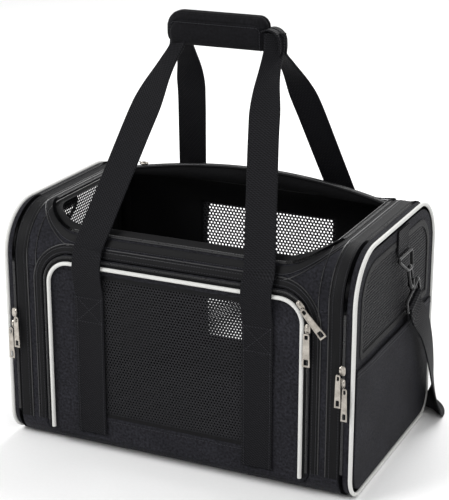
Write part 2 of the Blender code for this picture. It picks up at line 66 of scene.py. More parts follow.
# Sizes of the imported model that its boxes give
WALL_Y = -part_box("front_surround")[0].y
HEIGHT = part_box("front_surround")[1].z
BODY_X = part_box("front_surround")[1].x
DOOR_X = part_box("right_door_panel")[0].x
END_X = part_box("right_door_panel")[1].x
DOOR_BASE_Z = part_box("right_door_panel")[0].z
DOOR_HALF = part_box("front_door_panel")[1].x
DOOR_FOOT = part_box("front_door_panel")[0].z
DOOR_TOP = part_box("front_door_panel")[1].z
POCKET_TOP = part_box("right_door_pocket")[1].z
GRIP_LOW, GRIP_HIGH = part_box("front_grip_pad")
SEWN_LOW, SEWN_HIGH = (corner.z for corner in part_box("front_left_sewn_strap"))

# Sizes that its boxes don't give
TOP_R = 0.060
BOTTOM_R = 0.030
CLOTH = 0.0024
WEBBING = 0.0020
STRAP_W = 0.038
STRAP_X = 0.108
STRAP_TOP_X = {-1: -0.064, 1: 0.068}
DOORWAY = ((-0.1725, 0.0150), (0.1725, 0.2485), (0.038, 0.038, 0.014, 0.014))
DOOR_RADII = (0.0365, 0.0365, 0.0125, 0.0125)
TOP_OPENING = ((-0.185, -0.1245), (0.185, 0.108), (0.020, 0.020, 0.055, 0.055))
FRONT_WINDOW = ((-0.0945, 0.048), (0.0945, 0.229), (0.006,) * 4)
REAR_WINDOW = ((-0.0945, 0.048), (0.0945, 0.245), (0.006,) * 4)
END_WINDOW = ((-0.118, POCKET_TOP + 0.010), (0.118, HEIGHT - 0.022), (0.040, 0.040, 0.006, 0.006))
PIPING_R = 0.0024
SIDES = {"left": -1, "right": 1}
FACES = {"front": -1, "rear": 1}

# The shoulder strap's route, for the right half: down the end door, round its rear corner and behind
DROP_ROUTE = (
    (0.2325, 0.0420, 0.1836),
    (0.2345, 0.0480, 0.1700),
    (0.2375, 0.0690, 0.1460),
    (0.2390, 0.0890, 0.1100),
    (0.2395, 0.1050, 0.0700),
    (0.2390, 0.1180, 0.0420),
    (0.2375, 0.1290, 0.0220),
)
RUN_ROUTE = (
    (0.2290, 0.1440, 0.0016),
    (0.2160, 0.1600, 0.0016),
    (0.1950, 0.1710, 0.0016),
    (0.1600, 0.1750, 0.0016),
    (0.0800, 0.1760, 0.0016),
    (-0.0400, 0.1760, 0.0016),
)


# Colour and nodes


def linear(hex_colour):
    """An sRGB hex value as linear red, green and blue."""
    values = np.array([int(hex_colour[i : i + 2], 16) for i in (1, 3, 5)]) / 255
    return tuple(np.where(values <= 0.04045, values / 12.92, ((values + 0.055) / 1.055) ** 2.4).tolist())


def add(tree, kind, inputs=(), **settings):
    """Adds a node with its settings, and sets or links its inputs, given as {socket name or number: value}."""
    made = tree.nodes.new(kind)
    for name, value in settings.items():
        setattr(made, name, value)
    for name, value in dict(inputs).items():
        if isinstance(value, bpy.types.NodeSocket):
            tree.links.new(value, made.inputs[name])
        else:
            made.inputs[name].default_value = value
    return made


# Outlines and paths, as arrays of points


def arc(centre, radius, start, end, steps):
    """Points on an arc: centre + radius * (cos t, sin t), with t from start to end in degrees."""
    t = np.radians(np.linspace(start, end, steps + 1))
    return np.stack([centre[0] + radius * np.cos(t), centre[1] + radius * np.sin(t)], 1)


def rounded(low, high, radii, steps=16):
    """A rectangle with its own radius at each corner: upper right, upper left, lower left, lower right."""
    (a0, b0), (a1, b1) = low, high
    ur, ul, ll, lr = radii
    corners = ((a1 - ur, b1 - ur, ur), (a0 + ul, b1 - ul, ul), (a0 + ll, b0 + ll, ll), (a1 - lr, b0 + lr, lr))
    return np.concatenate([arc((a, b), r, 90 * i, 90 * i + 90, steps) for i, (a, b, r) in enumerate(corners)])


def running(points, closed=False):
    """How far along a line of points each of them is, with the way back to the first if it is closed."""
    if closed:
        points = np.concatenate([points, points[:1]])
    return np.concatenate([[0.0], np.cumsum(np.linalg.norm(np.diff(points, axis=0), axis=1))])


def even(points, spacing, closed=False):
    """A line of points drawn again with points the same distance apart, close to spacing."""
    points = np.asarray(points, float)
    far = running(points, closed)
    if closed:
        points = np.concatenate([points, points[:1]])
    count = max(3, round(far[-1] / spacing))
    at = np.linspace(0, far[-1], count, endpoint=not closed)
    return np.stack([np.interp(at, far, points[:, k]) for k in range(points.shape[1])], 1)


def smooth(route, per_span=3):
    """The Catmull-Rom curve through a route's own points."""
    p = np.array(route, float)
    p = np.concatenate([[2 * p[0] - p[1]], p, [2 * p[-1] - p[-2]]])
    t = (np.arange(per_span) / per_span)[None, :, None]
    a, b, c, d = (p[k : len(p) - 3 + k][:, None] for k in range(4))
    spans = 0.5 * (2 * b + (c - a) * t + (2 * a - 5 * b + 4 * c - d) * t**2 + (3 * b - 3 * c + d - a) * t**3)
    return np.concatenate([spans.reshape(-1, 3), p[-2:-1]])


def unit(vectors):
    return vectors / np.maximum(np.linalg.norm(vectors, axis=-1, keepdims=True), 1e-12)


def ease(x):
    """0 below 0, 1 above 1, and a smooth step between."""
    x = np.clip(x, 0, 1)
    return x * x * (3 - 2 * x)


# Grids and swept profiles, as patches of (points, faces, place of each corner on the cloth)


def patch(points, wrap_i=False, wrap_j=False, flip=False, keep=None, cloth=None):
    """Quads over a grid of points, rows by columns. A corner's place on the cloth is how far along
    its row and column it is, in metres, unless cloth gives it for each point."""
    rows, cols = points.shape[:2]
    i, j = np.meshgrid(np.arange(rows - (not wrap_i)), np.arange(cols - (not wrap_j)), indexing="ij")
    i, j = i.ravel(), j.ravel()
    if keep is not None:
        i, j = i[keep.ravel()], j[keep.ravel()]
    ii, jj = np.stack([i, i + 1, i + 1, i], 1), np.stack([j, j, j + 1, j + 1], 1)
    faces = (ii % rows) * cols + jj % cols
    if cloth is None:
        u, v = running(points[:, cols // 2], wrap_i), running(points[rows // 2], wrap_j)
        place = np.stack([u[ii], v[jj]], -1)
    else:
        place = cloth[ii % rows, jj % cols]
    if flip:
        faces, place = faces[:, ::-1], place[:, ::-1]
    return points.reshape(-1, 3), faces, place


def cap(ring, flip=False):
    """A flat end over a ring with an even number of points: a ladder of quads from side to side."""
    i = np.arange(len(ring) // 2 - 1)
    faces = np.stack([i, i + 1, len(ring) - 2 - i, len(ring) - 1 - i], 1)
    place = np.stack([i * 0.0005, i * 0.0005], 1)[:, None] + np.array([[0, 0], [1, 0], [1, 1], [0, 1]]) * 0.0005
    if flip:
        faces = faces[:, ::-1]
    return ring, faces, place


def directions(path, up, closed=False):
    """At each point of a path: the way ahead, the way across, and up squared to the path."""
    padded = np.concatenate([path[-1:], path, path[:1]]) if closed else np.concatenate([path[:1], path, path[-1:]])
    ahead = unit(padded[2:] - padded[:-2])
    up = np.broadcast_to(np.asarray(up, float), path.shape)
    up = unit(up - (up * ahead).sum(1, keepdims=True) * ahead)
    return ahead, np.cross(ahead, up), up


def sweep(path, up, profile, closed=False, across=None):
    """A closed profile carried along a path: point + across * a + up * b, for each (a, b) of the
    profile, which runs anticlockwise seen along the path and may differ from station to station."""
    ahead, side, up = directions(path, up, closed)
    if across is not None:
        side = unit(across)
        up = np.cross(side, ahead)
    profile = np.broadcast_to(profile, (len(path),) + np.shape(profile)[-2:])
    points = path[:, None] + side[:, None] * profile[..., :1] + up[:, None] * profile[..., 1:]
    made = [patch(points, wrap_i=closed, wrap_j=True)]
    if not closed:
        made += [cap(points[0], flip=True), cap(points[-1])]
    return made


def circle(radius, sides=12):
    """A round profile."""
    t = np.arange(sides) / sides * 2 * np.pi
    return radius * np.stack([np.cos(t), np.sin(t)], 1)


def bar(width, thickness, lift=0.0, round_steps=3):
    """A flat profile with half-round edges, its middle at lift."""
    r = thickness / 2
    right = arc((width / 2 - r, lift), r, -90, 90, 2 * round_steps)
    left = arc((r - width / 2, lift), r, 90, 270, 2 * round_steps)
    return np.concatenate([right, left])


def selvedge(width, thickness):
    """Webbing's profile: flat, with edges a little thicker than its middle, as woven edges are."""
    r = thickness / 2
    flat = width / 2 - 2.2 * r
    right = np.concatenate([[[flat, -0.86 * r]], arc((width / 2 - r, 0), r, -90, 90, 6), [[flat, 0.86 * r]]])
    left = -right
    return np.concatenate([right, left])


def welded(patches):
    """Patches put together, with points at one place made one."""
    starts = np.cumsum([0] + [len(p[0]) for p in patches])
    points = np.concatenate([p[0] for p in patches])
    faces = np.concatenate([p[1] + s for p, s in zip(patches, starts)])
    place = np.concatenate([p[2] for p in patches])
    _, first, which = np.unique(np.round(points, 7), axis=0, return_index=True, return_inverse=True)
    return points[first], which.ravel()[faces], place


def settle(name, patches, finish, body, stands_for=(), sharp=40.0, mirrored=False):
    """Puts patches into one mesh whose object stays at the origin, with its finish, and sets the body
    that it rides on when body is one name. A body given as (body, body, start, end), for cloth that
    bends between two, is not used: such a piece rides on no body and does not bend."""
    points, faces, place = welded(patches)
    if mirrored:
        points = points * (-1, 1, 1)
        faces, place = faces[:, ::-1], place[:, ::-1]
    mesh = bpy.data.meshes.new(name)
    mesh.from_pydata(points.tolist(), [], faces.tolist())
    mesh.uv_layers.new(name="cloth").uv.foreach_set("vector", place.astype(np.float32).ravel())
    mesh.validate()
    mesh.shade_smooth()
    if sharp:
        mesh.set_sharp_from_angle(angle=math.radians(sharp))
    mesh.materials.append(finish)
    made = bpy.data.objects.new(name, mesh)
    bpy.context.scene.collection.objects.link(made)
    if isinstance(body, str):
        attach(made, body)
    else:
        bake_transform(made)
    if stands_for:
        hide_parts(*stands_for)
    return made


def thicken(made, thickness, offset=-1.0, lined=True):
    """Gives an open surface a cloth's thickness, away from its face at offset -1, and a lining."""
    skin = made.modifiers.new("thickness", "SOLIDIFY")
    skin.thickness = thickness
    skin.offset = offset
    skin.use_even_offset = True
    if lined:
        made.data.materials.append(finish("lining"))
        skin.material_offset = 1
    return made


# Cut panels


def outside(a, b, outline):
    """How far a point is outside a rounded rectangle: the distance to it, less than 0 inside."""
    low, high, (ur, ul, ll, lr) = outline
    centre, half = (np.array(low) + high) / 2, (np.array(high) - low) / 2
    x, y = a - centre[0], b - centre[1]
    r = np.where(x > 0, np.where(y > 0, ur, lr), np.where(y > 0, ul, ll))
    qx, qy = np.abs(x) - half[0] + r, np.abs(y) - half[1] + r
    return np.hypot(np.maximum(qx, 0), np.maximum(qy, 0)) + np.minimum(np.maximum(qx, qy), 0) - r


def lines(keys, spacing):
    """Grid lines through every key value, no further apart than spacing."""
    keys = np.unique(np.round(keys, 6))
    runs = [np.linspace(a, b, max(1, math.ceil((b - a) / spacing)), endpoint=False) for a, b in zip(keys, keys[1:])]
    return np.concatenate(runs + [keys[-1:]])


def corners_of(cells):
    """The grid points that touch any of these cells."""
    touched = np.zeros((cells.shape[0] + 1, cells.shape[1] + 1), bool)
    for di in (0, 1):
        for dj in (0, 1):
            touched[di : di + cells.shape[0], dj : dj + cells.shape[1]] |= cells
    return touched


def cut_cloth(a_lines, b_lines, edges):
    """A flat grid cut to its edges. Each edge is a function of (a, b) that is less than 0 where there
    is cloth: cells whose middle is beyond it go, and the points left beside them move onto it."""
    a, b = np.meshgrid(a_lines, b_lines, indexing="ij")
    mid_a, mid_b = (a[:-1, :-1] + a[1:, 1:]) / 2, (b[:-1, :-1] + b[1:, 1:]) / 2
    inside = [edge(mid_a, mid_b) < 0 for edge in edges]
    keep = np.logical_and.reduce(inside)
    step = 1e-5
    for edge, here in zip(edges, inside):
        border = corners_of(keep) & corners_of(~here)
        for _ in range(5):
            far = edge(a, b)
            slope_a, slope_b = (edge(a + step, b) - far) / step, (edge(a, b + step) - far) / step
            share = far / np.maximum(slope_a**2 + slope_b**2, 0.25)
            a, b = np.where(border, a - share * slope_a, a), np.where(border, b - share * slope_b, b)
    return a, b, keep


# The shell's surface


def tube_outline():
    """The body seen from its end, from the middle of the floor round by the front: its distance along
    the outline, and its y and z."""
    ring = rounded((-WALL_Y, 0), (WALL_Y, HEIGHT), (TOP_R, TOP_R, BOTTOM_R, BOTTOM_R), 40)
    ring = even(np.concatenate([ring, ring[:1]]), 0.0005)[::-1]
    start = np.argmin(np.abs(ring[:, 0]) + 10 * ring[:, 1])
    ring = np.concatenate([ring[start:-1], ring[: start + 1]])
    return running(ring), ring[:, 0], ring[:, 1]


AROUND, AROUND_Y, AROUND_Z = tube_outline()
TURN = AROUND[-1]


def side_point(s):
    """Y and Z on the body's outline at a distance s along it, and the outward direction there."""
    y, z = np.interp(s, AROUND, AROUND_Y), np.interp(s, AROUND, AROUND_Z)
    h = 0.002
    back, on = np.maximum(s - h, 0), np.minimum(s + h, TURN)
    dy = np.interp(on, AROUND, AROUND_Y) - np.interp(back, AROUND, AROUND_Y)
    dz = np.interp(on, AROUND, AROUND_Z) - np.interp(back, AROUND, AROUND_Z)
    size = np.hypot(dy, dz)
    return y, z, -dz / size, dy / size


def s_at(face, z):
    """The distance along the outline to a height on the front (-1) or rear (1) wall or shoulder."""
    half = AROUND < TURN / 2 if face < 0 else AROUND >= TURN / 2
    order = np.argsort(AROUND_Z[half], kind="stable")
    return float(np.interp(z, AROUND_Z[half][order], AROUND[half][order]))


def z_on_top(y):
    """The height of the shoulders and top above a place across the carrier."""
    over = np.maximum(np.abs(y) - (WALL_Y - TOP_R), 0)
    return HEIGHT - TOP_R + np.sqrt(np.maximum(TOP_R**2 - over**2, 0))


def slack(x, y, z):
    """How far the cloth lies in from the taut outline: a little along the rim of the top opening and
    in slow waves over the walls, and nothing at the ends, where the zips hold it."""
    free = np.cos(np.clip(x / BODY_X, -1, 1) * np.pi / 2) ** 0.6
    rim = 0.0016 * ease((z - 0.262) / 0.03)
    waves = 0.00035 * (2 + np.sin(31 * x + 17 * z + 2 * y) + np.sin(19 * x - 43 * z + 9 * y))
    return free * (rim + waves * ease((z - 0.03) / 0.05))


def on_shell(x, s, lift=0.0):
    """A point of the body's cloth, lift above it, by its place across and its distance round."""
    y, z, out_y, out_z = side_point(s)
    away = lift - slack(x, y, z)
    return np.stack([x + 0 * y, y + out_y * away, z + out_z * away], -1), np.stack([0 * y, out_y, out_z], -1)


# Finishes


def start(name):
    """A new material, its tree, its shader and the place on the cloth in metres."""
    made = bpy.data.materials.new(name)
    made.use_nodes = True
    tree = made.node_tree
    place = add(tree, "ShaderNodeUVMap", uv_map="cloth").outputs["UV"]
    return made, tree, tree.nodes["Principled BSDF"], place


def band(tree, place, pitch, direction="X", profile="SIN", **more):
    """A wave pattern that repeats every pitch metres. The node's own wave is pi / 10 long at scale 1."""
    inputs = {"Vector": place, "Scale": math.pi / 10 / pitch, **{k.title(): v for k, v in more.items()}}
    return add(tree, "ShaderNodeTexWave", inputs, bands_direction=direction, wave_profile=profile).outputs["Fac"]


def maths(tree, operation, a, b=0.5):
    return add(tree, "ShaderNodeMath", {0: a, 1: b}, operation=operation).outputs[0]


def noise(tree, place, size, detail=2.0):
    """Soft noise whose blots are about size metres across."""
    return add(tree, "ShaderNodeTexNoise", {"Vector": place, "Scale": 1 / size, "Detail": detail}).outputs["Fac"]


def mix(tree, share, dark, light):
    """A colour between two, given as colours or sockets."""
    inputs = {"Factor": share}
    made = add(tree, "ShaderNodeMix", inputs, data_type="RGBA")
    for socket, value in ((made.inputs[6], dark), (made.inputs[7], light)):
        if isinstance(value, bpy.types.NodeSocket):
            tree.links.new(value, socket)
        else:
            socket.default_value = (*value, 1.0)
    return made.outputs[2]


def bumped(tree, shader, height, depth, strength=1.0, under=None):
    """Links a height, in shares of depth metres, to the shader's normal."""
    inputs = {"Height": height, "Distance": depth, "Strength": strength}
    if under is not None:
        inputs["Normal"] = under
    made = add(tree, "ShaderNodeBump", inputs)
    tree.links.new(made.outputs["Normal"], shader.inputs["Normal"])
    return made.outputs["Normal"]


def spread(tree, value, low, high, to_low, to_high):
    """A value taken from one range to another."""
    inputs = {"Value": value, "From Min": low, "From Max": high, "To Min": to_low, "To Max": to_high}
    return add(tree, "ShaderNodeMapRange", inputs).outputs["Result"]


def weave(tree, place, warp, weft):
    """A plain weave's height: rounded crossings of threads, in rows warp and weft metres apart."""
    across, along = band(tree, place, warp, "X"), band(tree, place, weft, "Y")
    return maths(tree, "MULTIPLY", maths(tree, "POWER", across, 0.6), maths(tree, "POWER", along, 0.6))


def woven_polyester(name, base, lit, warp=0.0011, weft=0.0009):
    """Oxford polyester, woven and coated on its back: a matt charcoal with yarns that vary and slow creases.
    The raised threads take the lit colour, a painted highlight, and the gaps between them take the base colour,
    painted shade. The creases are a bump, and the same noise paints their crests lighter and their hollows
    darker, painted shade. A thread is half as wide as the weave drawn here, which is as coarse as it needs
    to be to show."""
    made, tree, shader, place = start(name)
    threads = weave(tree, place, warp, weft)
    yarn = noise(tree, place, 0.0030, 3)
    crease_relief_and_shade = noise(tree, place, 0.045, 2)
    # Painted light: the weave's crowns and the creases' crests take the lit colour, and the gaps and crease hollows
    # take the base colour as painted shade; the yarn noise is the yarn's own tone
    share = maths(tree, "MULTIPLY", spread(tree, threads, 0, 1, 0.25, 1), spread(tree, yarn, 0.3, 0.7, 0.20, 1.25))
    share = maths(tree, "MULTIPLY", share, spread(tree, crease_relief_and_shade, 0.3, 0.7, 0.7, 1.15))
    tree.links.new(mix(tree, share, base, lit), shader.inputs["Base Color"])
    tree.links.new(spread(tree, threads, 0, 1, 0.82, 0.62), shader.inputs["Roughness"])
    shader.inputs["IOR"].default_value = 1.45
    shader.inputs["Specular IOR Level"].default_value = 0.10
    shader.inputs["Sheen Weight"].default_value = 0.02
    shader.inputs["Sheen Roughness"].default_value = 0.45
    creased = bumped(tree, shader, crease_relief_and_shade, 0.0030, 0.45)
    bumped(tree, shader, maths(tree, "ADD", threads, maths(tree, "MULTIPLY", yarn, 0.8)), 0.00022, 0.9, creased)
    return made


def ribbed_webbing(name, base, lit, pitch=0.0026):
    """Polypropylene webbing, woven in a twill: near black, with slanting ribs and a low gloss where
    the ribs' crowns are worn smooth. The crowns also take the lit colour, a painted highlight, and the
    grooves take the base colour, painted shade. Real ribs are 1.3 mm apart, and are drawn twice as coarse to show."""
    made, tree, shader, place = start(name)
    slant = add(tree, "ShaderNodeMapping", {"Vector": place, "Rotation": (0, 0, math.radians(38))}).outputs[0]
    ribs = band(tree, slant, pitch, "X")
    picks = band(tree, place, pitch * 0.9, "X")
    yarn = noise(tree, place, 0.0016, 2)
    height = maths(tree, "ADD", maths(tree, "MULTIPLY", ribs, 0.7), maths(tree, "MULTIPLY", picks, 0.5))
    # Painted light: the rib crowns take the lit colour and the grooves take the base colour; the yarn noise is the
    # yarn's own tone
    share = maths(tree, "MULTIPLY", height, spread(tree, yarn, 0.3, 0.7, 0.35, 1.1))
    tree.links.new(mix(tree, share, base, lit), shader.inputs["Base Color"])
    tree.links.new(spread(tree, height, 0, 1.2, 0.75, 0.48), shader.inputs["Roughness"])
    shader.inputs["Specular IOR Level"].default_value = 0.10
    bumped(tree, shader, maths(tree, "ADD", height, maths(tree, "MULTIPLY", yarn, 0.5)), 0.00050, 0.9)
    return made


def knitted_net():
    """Warp-knitted nylon net: thin grey-black threads with a soft shine and a fine twist. The grey is painted on the
    twist's crests, a painted sheen, and the grooves stay near black, painted shade.
    """
    made, tree, shader, place = start("knitted_nylon_net")
    twist = band(tree, place, 0.0009, "DIAGONAL")
    yarn = noise(tree, place, 0.0030, 2)
    # Painted light: the twist's crests are painted grey as a painted sheen, and its grooves near black as painted shade
    share = maths(tree, "MULTIPLY", twist, yarn)
    tree.links.new(mix(tree, share, linear("#0a0a0b"), linear("#38383d")), shader.inputs["Base Color"])
    tree.links.new(spread(tree, yarn, 0.3, 0.7, 0.5, 0.7), shader.inputs["Roughness"])
    shader.inputs["Specular IOR Level"].default_value = 0.18
    bumped(tree, shader, twist, 0.00012, 0.8)
    return made


def wrapped_piping(colour):
    """White polyester tape wrapped round a cord: matt white, with fine slanting threads and a trace
    of grey between them, painted shade where the threads dip."""
    made, tree, shader, place = start("wrapped_polyester_piping")
    slant = add(tree, "ShaderNodeMapping", {"Vector": place, "Rotation": (0, 0, math.radians(24))}).outputs[0]
    threads = band(tree, slant, 0.0015, "X")
    soil = noise(tree, place, 0.010, 3)
    share = maths(tree, "MULTIPLY", spread(tree, threads, 0, 1, 0.55, 1), spread(tree, soil, 0.3, 0.7, 0.8, 1))
    # grey is painted shade between the threads; the soil noise is real soiling
    grey = tuple(c * 0.68 for c in colour)
    tree.links.new(mix(tree, share, grey, colour), shader.inputs["Base Color"])
    shader.inputs["Roughness"].default_value = 0.72
    shader.inputs["Sheen Weight"].default_value = 0.15
    bumped(tree, shader, threads, 0.00018, 0.6)
    return made


def zip_tape():
    """Zip tape, woven polyester in a fine herringbone: smooth black with a faint satin line. The line is partly real
    gloss, with roughness falling on the weave's crests, and partly a painted sheen, with the colour rising there.
    """
    made, tree, shader, place = start("woven_zip_tape")
    rows = band(tree, place, 0.0016, "Y", "TRI")
    picks = band(tree, place, 0.0012, "X")
    share = maths(tree, "MULTIPLY", rows, picks)
    # Painted sheen: the herringbone's crests are painted lighter where they are also glossier
    tree.links.new(mix(tree, share, linear("#050506"), linear("#151518")), shader.inputs["Base Color"])
    tree.links.new(spread(tree, share, 0, 1, 0.62, 0.42), shader.inputs["Roughness"])
    shader.inputs["Specular IOR Level"].default_value = 0.14
    bumped(tree, shader, share, 0.00016, 0.8)
    return made


def nylon_coil():
    """Moulded nylon monofilament: black, smooth, and glossy enough for a thin highlight."""
    made, tree, shader, place = start("nylon_zip_coil")
    worn = noise(tree, place, 0.004, 3)
    tree.links.new(mix(tree, worn, linear("#060607"), linear("#151518")), shader.inputs["Base Color"])
    tree.links.new(spread(tree, worn, 0.3, 0.7, 0.24, 0.42), shader.inputs["Roughness"])
    shader.inputs["IOR"].default_value = 1.53
    bumped(tree, shader, worn, 0.00006, 0.5)
    return made


def sewing_thread():
    """Bonded nylon sewing thread: black-grey, twisted, with a small shine. The grey is painted on the twist's crests, a
    painted highlight, and the grooves are near black, painted shade.
    """
    made, tree, shader, place = start("bonded_nylon_thread")
    twist = band(tree, place, 0.0007, "DIAGONAL")
    # Painted light: the twist's crests are painted grey as a painted highlight, and its grooves near black as painted
    # shade
    tree.links.new(mix(tree, twist, linear("#101012"), linear("#3a3a40")), shader.inputs["Base Color"])
    shader.inputs["Specular IOR Level"].default_value = 0.25
    shader.inputs["Roughness"].default_value = 0.45
    bumped(tree, shader, twist, 0.00008, 0.7)
    return made


def plated_zinc():
    """Die-cast zinc plated with nickel: a bright warm-grey metal, tumbled, with fine scratches."""
    made, tree, shader, place = start("nickel_plated_zinc")
    here = add(tree, "ShaderNodeTexCoord").outputs["Object"]
    long_way = add(tree, "ShaderNodeMapping", {"Vector": here, "Scale": (1, 1, 0.12)}).outputs[0]
    scratches = noise(tree, long_way, 0.0009, 4)
    wear = noise(tree, here, 0.006, 3)
    shader.inputs["Metallic"].default_value = 1.0
    tree.links.new(mix(tree, wear, linear("#7c766f"), linear("#c9c3ba")), shader.inputs["Base Color"])
    tree.links.new(spread(tree, scratches, 0.3, 0.7, 0.18, 0.40), shader.inputs["Roughness"])
    bumped(tree, shader, scratches, 0.00005, 0.5)
    return made


def black_lacquer():
    """Die-cast zinc under black electrocoat: deep black, glossy, a little orange-peeled, thin on edges."""
    made, tree, shader, place = start("black_coated_zinc")
    here = add(tree, "ShaderNodeTexCoord").outputs["Object"]
    peel = noise(tree, here, 0.0022, 2)
    wear = noise(tree, here, 0.012, 4)
    tree.links.new(mix(tree, wear, linear("#050506"), linear("#151517")), shader.inputs["Base Color"])
    tree.links.new(spread(tree, wear, 0.35, 0.7, 0.20, 0.38), shader.inputs["Roughness"])
    shader.inputs["IOR"].default_value = 1.48
    shader.inputs["Specular IOR Level"].default_value = 0.3
    shader.inputs["Coat Weight"].default_value = 0.06
    shader.inputs["Coat Roughness"].default_value = 0.12
    bumped(tree, shader, peel, 0.00008, 0.4)
    return made


def moulded_acetal():
    """Moulded acetal: black plastic with the faint grain of the mould."""
    made, tree, shader, place = start("moulded_black_acetal")
    here = add(tree, "ShaderNodeTexCoord").outputs["Object"]
    grain = noise(tree, here, 0.0010, 3)
    tree.links.new(mix(tree, grain, linear("#141416"), linear("#26262a")), shader.inputs["Base Color"])
    tree.links.new(spread(tree, grain, 0.3, 0.7, 0.34, 0.5), shader.inputs["Roughness"])
    bumped(tree, shader, grain, 0.00006, 0.6)
    return made


def brushed_fleece():
    """Brushed polyester fleece: charcoal, with short curled pile and a soft sheen."""
    made, tree, shader, place = start("brushed_polyester_fleece")
    here = add(tree, "ShaderNodeTexCoord").outputs["Object"]
    curls = noise(tree, here, 0.0024, 4)
    tufts = noise(tree, here, 0.011, 3)
    share = maths(tree, "MULTIPLY", spread(tree, curls, 0.3, 0.7, 0.1, 1), spread(tree, tufts, 0.3, 0.7, 0.6, 1.1))
    tree.links.new(mix(tree, share, linear("#101012"), linear("#2c2c31")), shader.inputs["Base Color"])
    shader.inputs["Roughness"].default_value = 0.95
    shader.inputs["Specular IOR Level"].default_value = 0.10
    shader.inputs["Sheen Weight"].default_value = 0.05
    shader.inputs["Sheen Roughness"].default_value = 0.5
    bumped(tree, shader, maths(tree, "ADD", curls, tufts), 0.0012, 0.9)
    return made


def pressed_board():
    """Pressed fibreboard in a black wrap: dull, with a faint pebble."""
    made, tree, shader, place = start("wrapped_fibreboard")
    here = add(tree, "ShaderNodeTexCoord").outputs["Object"]
    pebble = noise(tree, here, 0.0016, 3)
    tree.links.new(mix(tree, pebble, linear("#0e0e10"), linear("#1c1c20")), shader.inputs["Base Color"])
    shader.inputs["Roughness"].default_value = 0.8
    bumped(tree, shader, pebble, 0.0002, 0.7)
    return made


def seamless_paper():
    """Matt backdrop paper: near white, with a very faint tooth."""
    made, tree, shader, place = start("white_backdrop_paper")
    here = add(tree, "ShaderNodeTexCoord").outputs["Object"]
    tooth = noise(tree, here, 0.004, 2)
    tree.links.new(mix(tree, tooth, linear("#f6f6f6"), linear("#fbfbfb")), shader.inputs["Base Color"])
    shader.inputs["Roughness"].default_value = 0.95
    return made


FINISHES = {}


def finish(name):
    """The finish of that name, made when it is first asked for."""
    if name not in FINISHES:
        colours = bpy.context.scene.carrier_colours
        makers = {
            # Shell, lining and grip: the first colour is painted shade between the threads, and the second is a painted
            # highlight on them
            "shell": lambda: woven_polyester("woven_polyester_shell", tuple(colours.shadow), tuple(colours.cloth)),
            "lining": lambda: woven_polyester("woven_polyester_lining", linear("#060607"), linear("#121214")),
            "grip": lambda: woven_polyester("brushed_polyester_grip", linear("#060607"), linear("#1c1c20"), 0.0008, 0.0008),
            # The webbing's first colour is painted shade in its rib grooves, and the second is a painted highlight on
            # its crowns
            "webbing": lambda: ribbed_webbing("polypropylene_webbing", linear("#050506"), tuple(colours.webbing)),
            "net": knitted_net,
            "piping": lambda: wrapped_piping(tuple(colours.piping)),
            "tape": zip_tape,
            "coil": nylon_coil,
            "thread": sewing_thread,
            "nickel": plated_zinc,
            "lacquer": black_lacquer,
            "acetal": moulded_acetal,
            "fleece": brushed_fleece,
            "board": pressed_board,
            "paper": seamless_paper,
        }
        FINISHES[name] = makers[name]()
    return FINISHES[name]


# Small parts that many pieces share


def line_on(points, lift):
    """Points (x, s) of a line on the body's cloth, lift above it, with the outward direction at each."""
    return on_shell(points[:, 0], points[:, 1], lift)


def stitches(path, up, pitch=0.0034, length=0.0024, radius=0.00032, closed=False):
    """A row of stitches: short rounded threads, each laid along the path and a pitch from the next."""
    at = even(np.concatenate([path, np.broadcast_to(up, path.shape)], 1), pitch, closed)
    ahead, side, lift = directions(at[:, :3], at[:, 3:], closed)
    ring = circle(radius, 6)
    reach, size = np.array([-0.5, -0.3, 0.3, 0.5]) * length, np.array([0.45, 1.0, 1.0, 0.45])
    shape = np.concatenate([np.repeat(reach, 6)[:, None], np.tile(ring, (4, 1)) * np.repeat(size, 6)[:, None]], 1)
    frames = np.stack([ahead, side, lift], 1)
    points = at[:, None, :3] + shape @ frames
    one = [patch(shape.reshape(4, 6, 3), wrap_j=True), cap(shape[:6], flip=True), cap(shape[18:])]
    faces = np.concatenate([one[0][1], one[1][1], one[2][1] + 18])
    place = np.concatenate([p[2] for p in one])
    count = len(at)
    all_faces = (faces[None] + 24 * np.arange(count)[:, None, None]).reshape(-1, 4)
    return [(points.reshape(-1, 3), all_faces, np.tile(place, (count, 1, 1)))]


def zip_coil(path, up, pitch, half_width=0.0020, height=0.0017, closed=False):
    """A closed zip's coil: two rows of nylon loops that meet in a groove. The height over the tape is
    the half ellipse h * sqrt(1 - (a / w)^2), dipped in the middle, and swells once every pitch."""
    per_tooth = 3
    line = even(np.concatenate([path, np.broadcast_to(up, path.shape)], 1), pitch / per_tooth, closed)
    a = np.linspace(1, -1, 9)
    crown = np.sqrt(1 - a**2) * (1 - 0.35 * np.exp(-((a / 0.22) ** 2)))
    swell = 0.5 + 0.5 * np.cos(2 * np.pi * np.arange(len(line)) / per_tooth)
    swell = swell[:, None]
    across = a * half_width * (0.88 + 0.12 * swell)
    above = crown * height * (0.62 + 0.38 * swell)
    top = np.stack([across, above], -1)
    under = np.stack([across[:, :1] * [[-0.5, 0.5]], above[:, :2] * 0 - 0.0002], -1)
    return sweep(line[:, :3], line[:, 3:], np.concatenate([top, under], 1)[:, :10], closed)


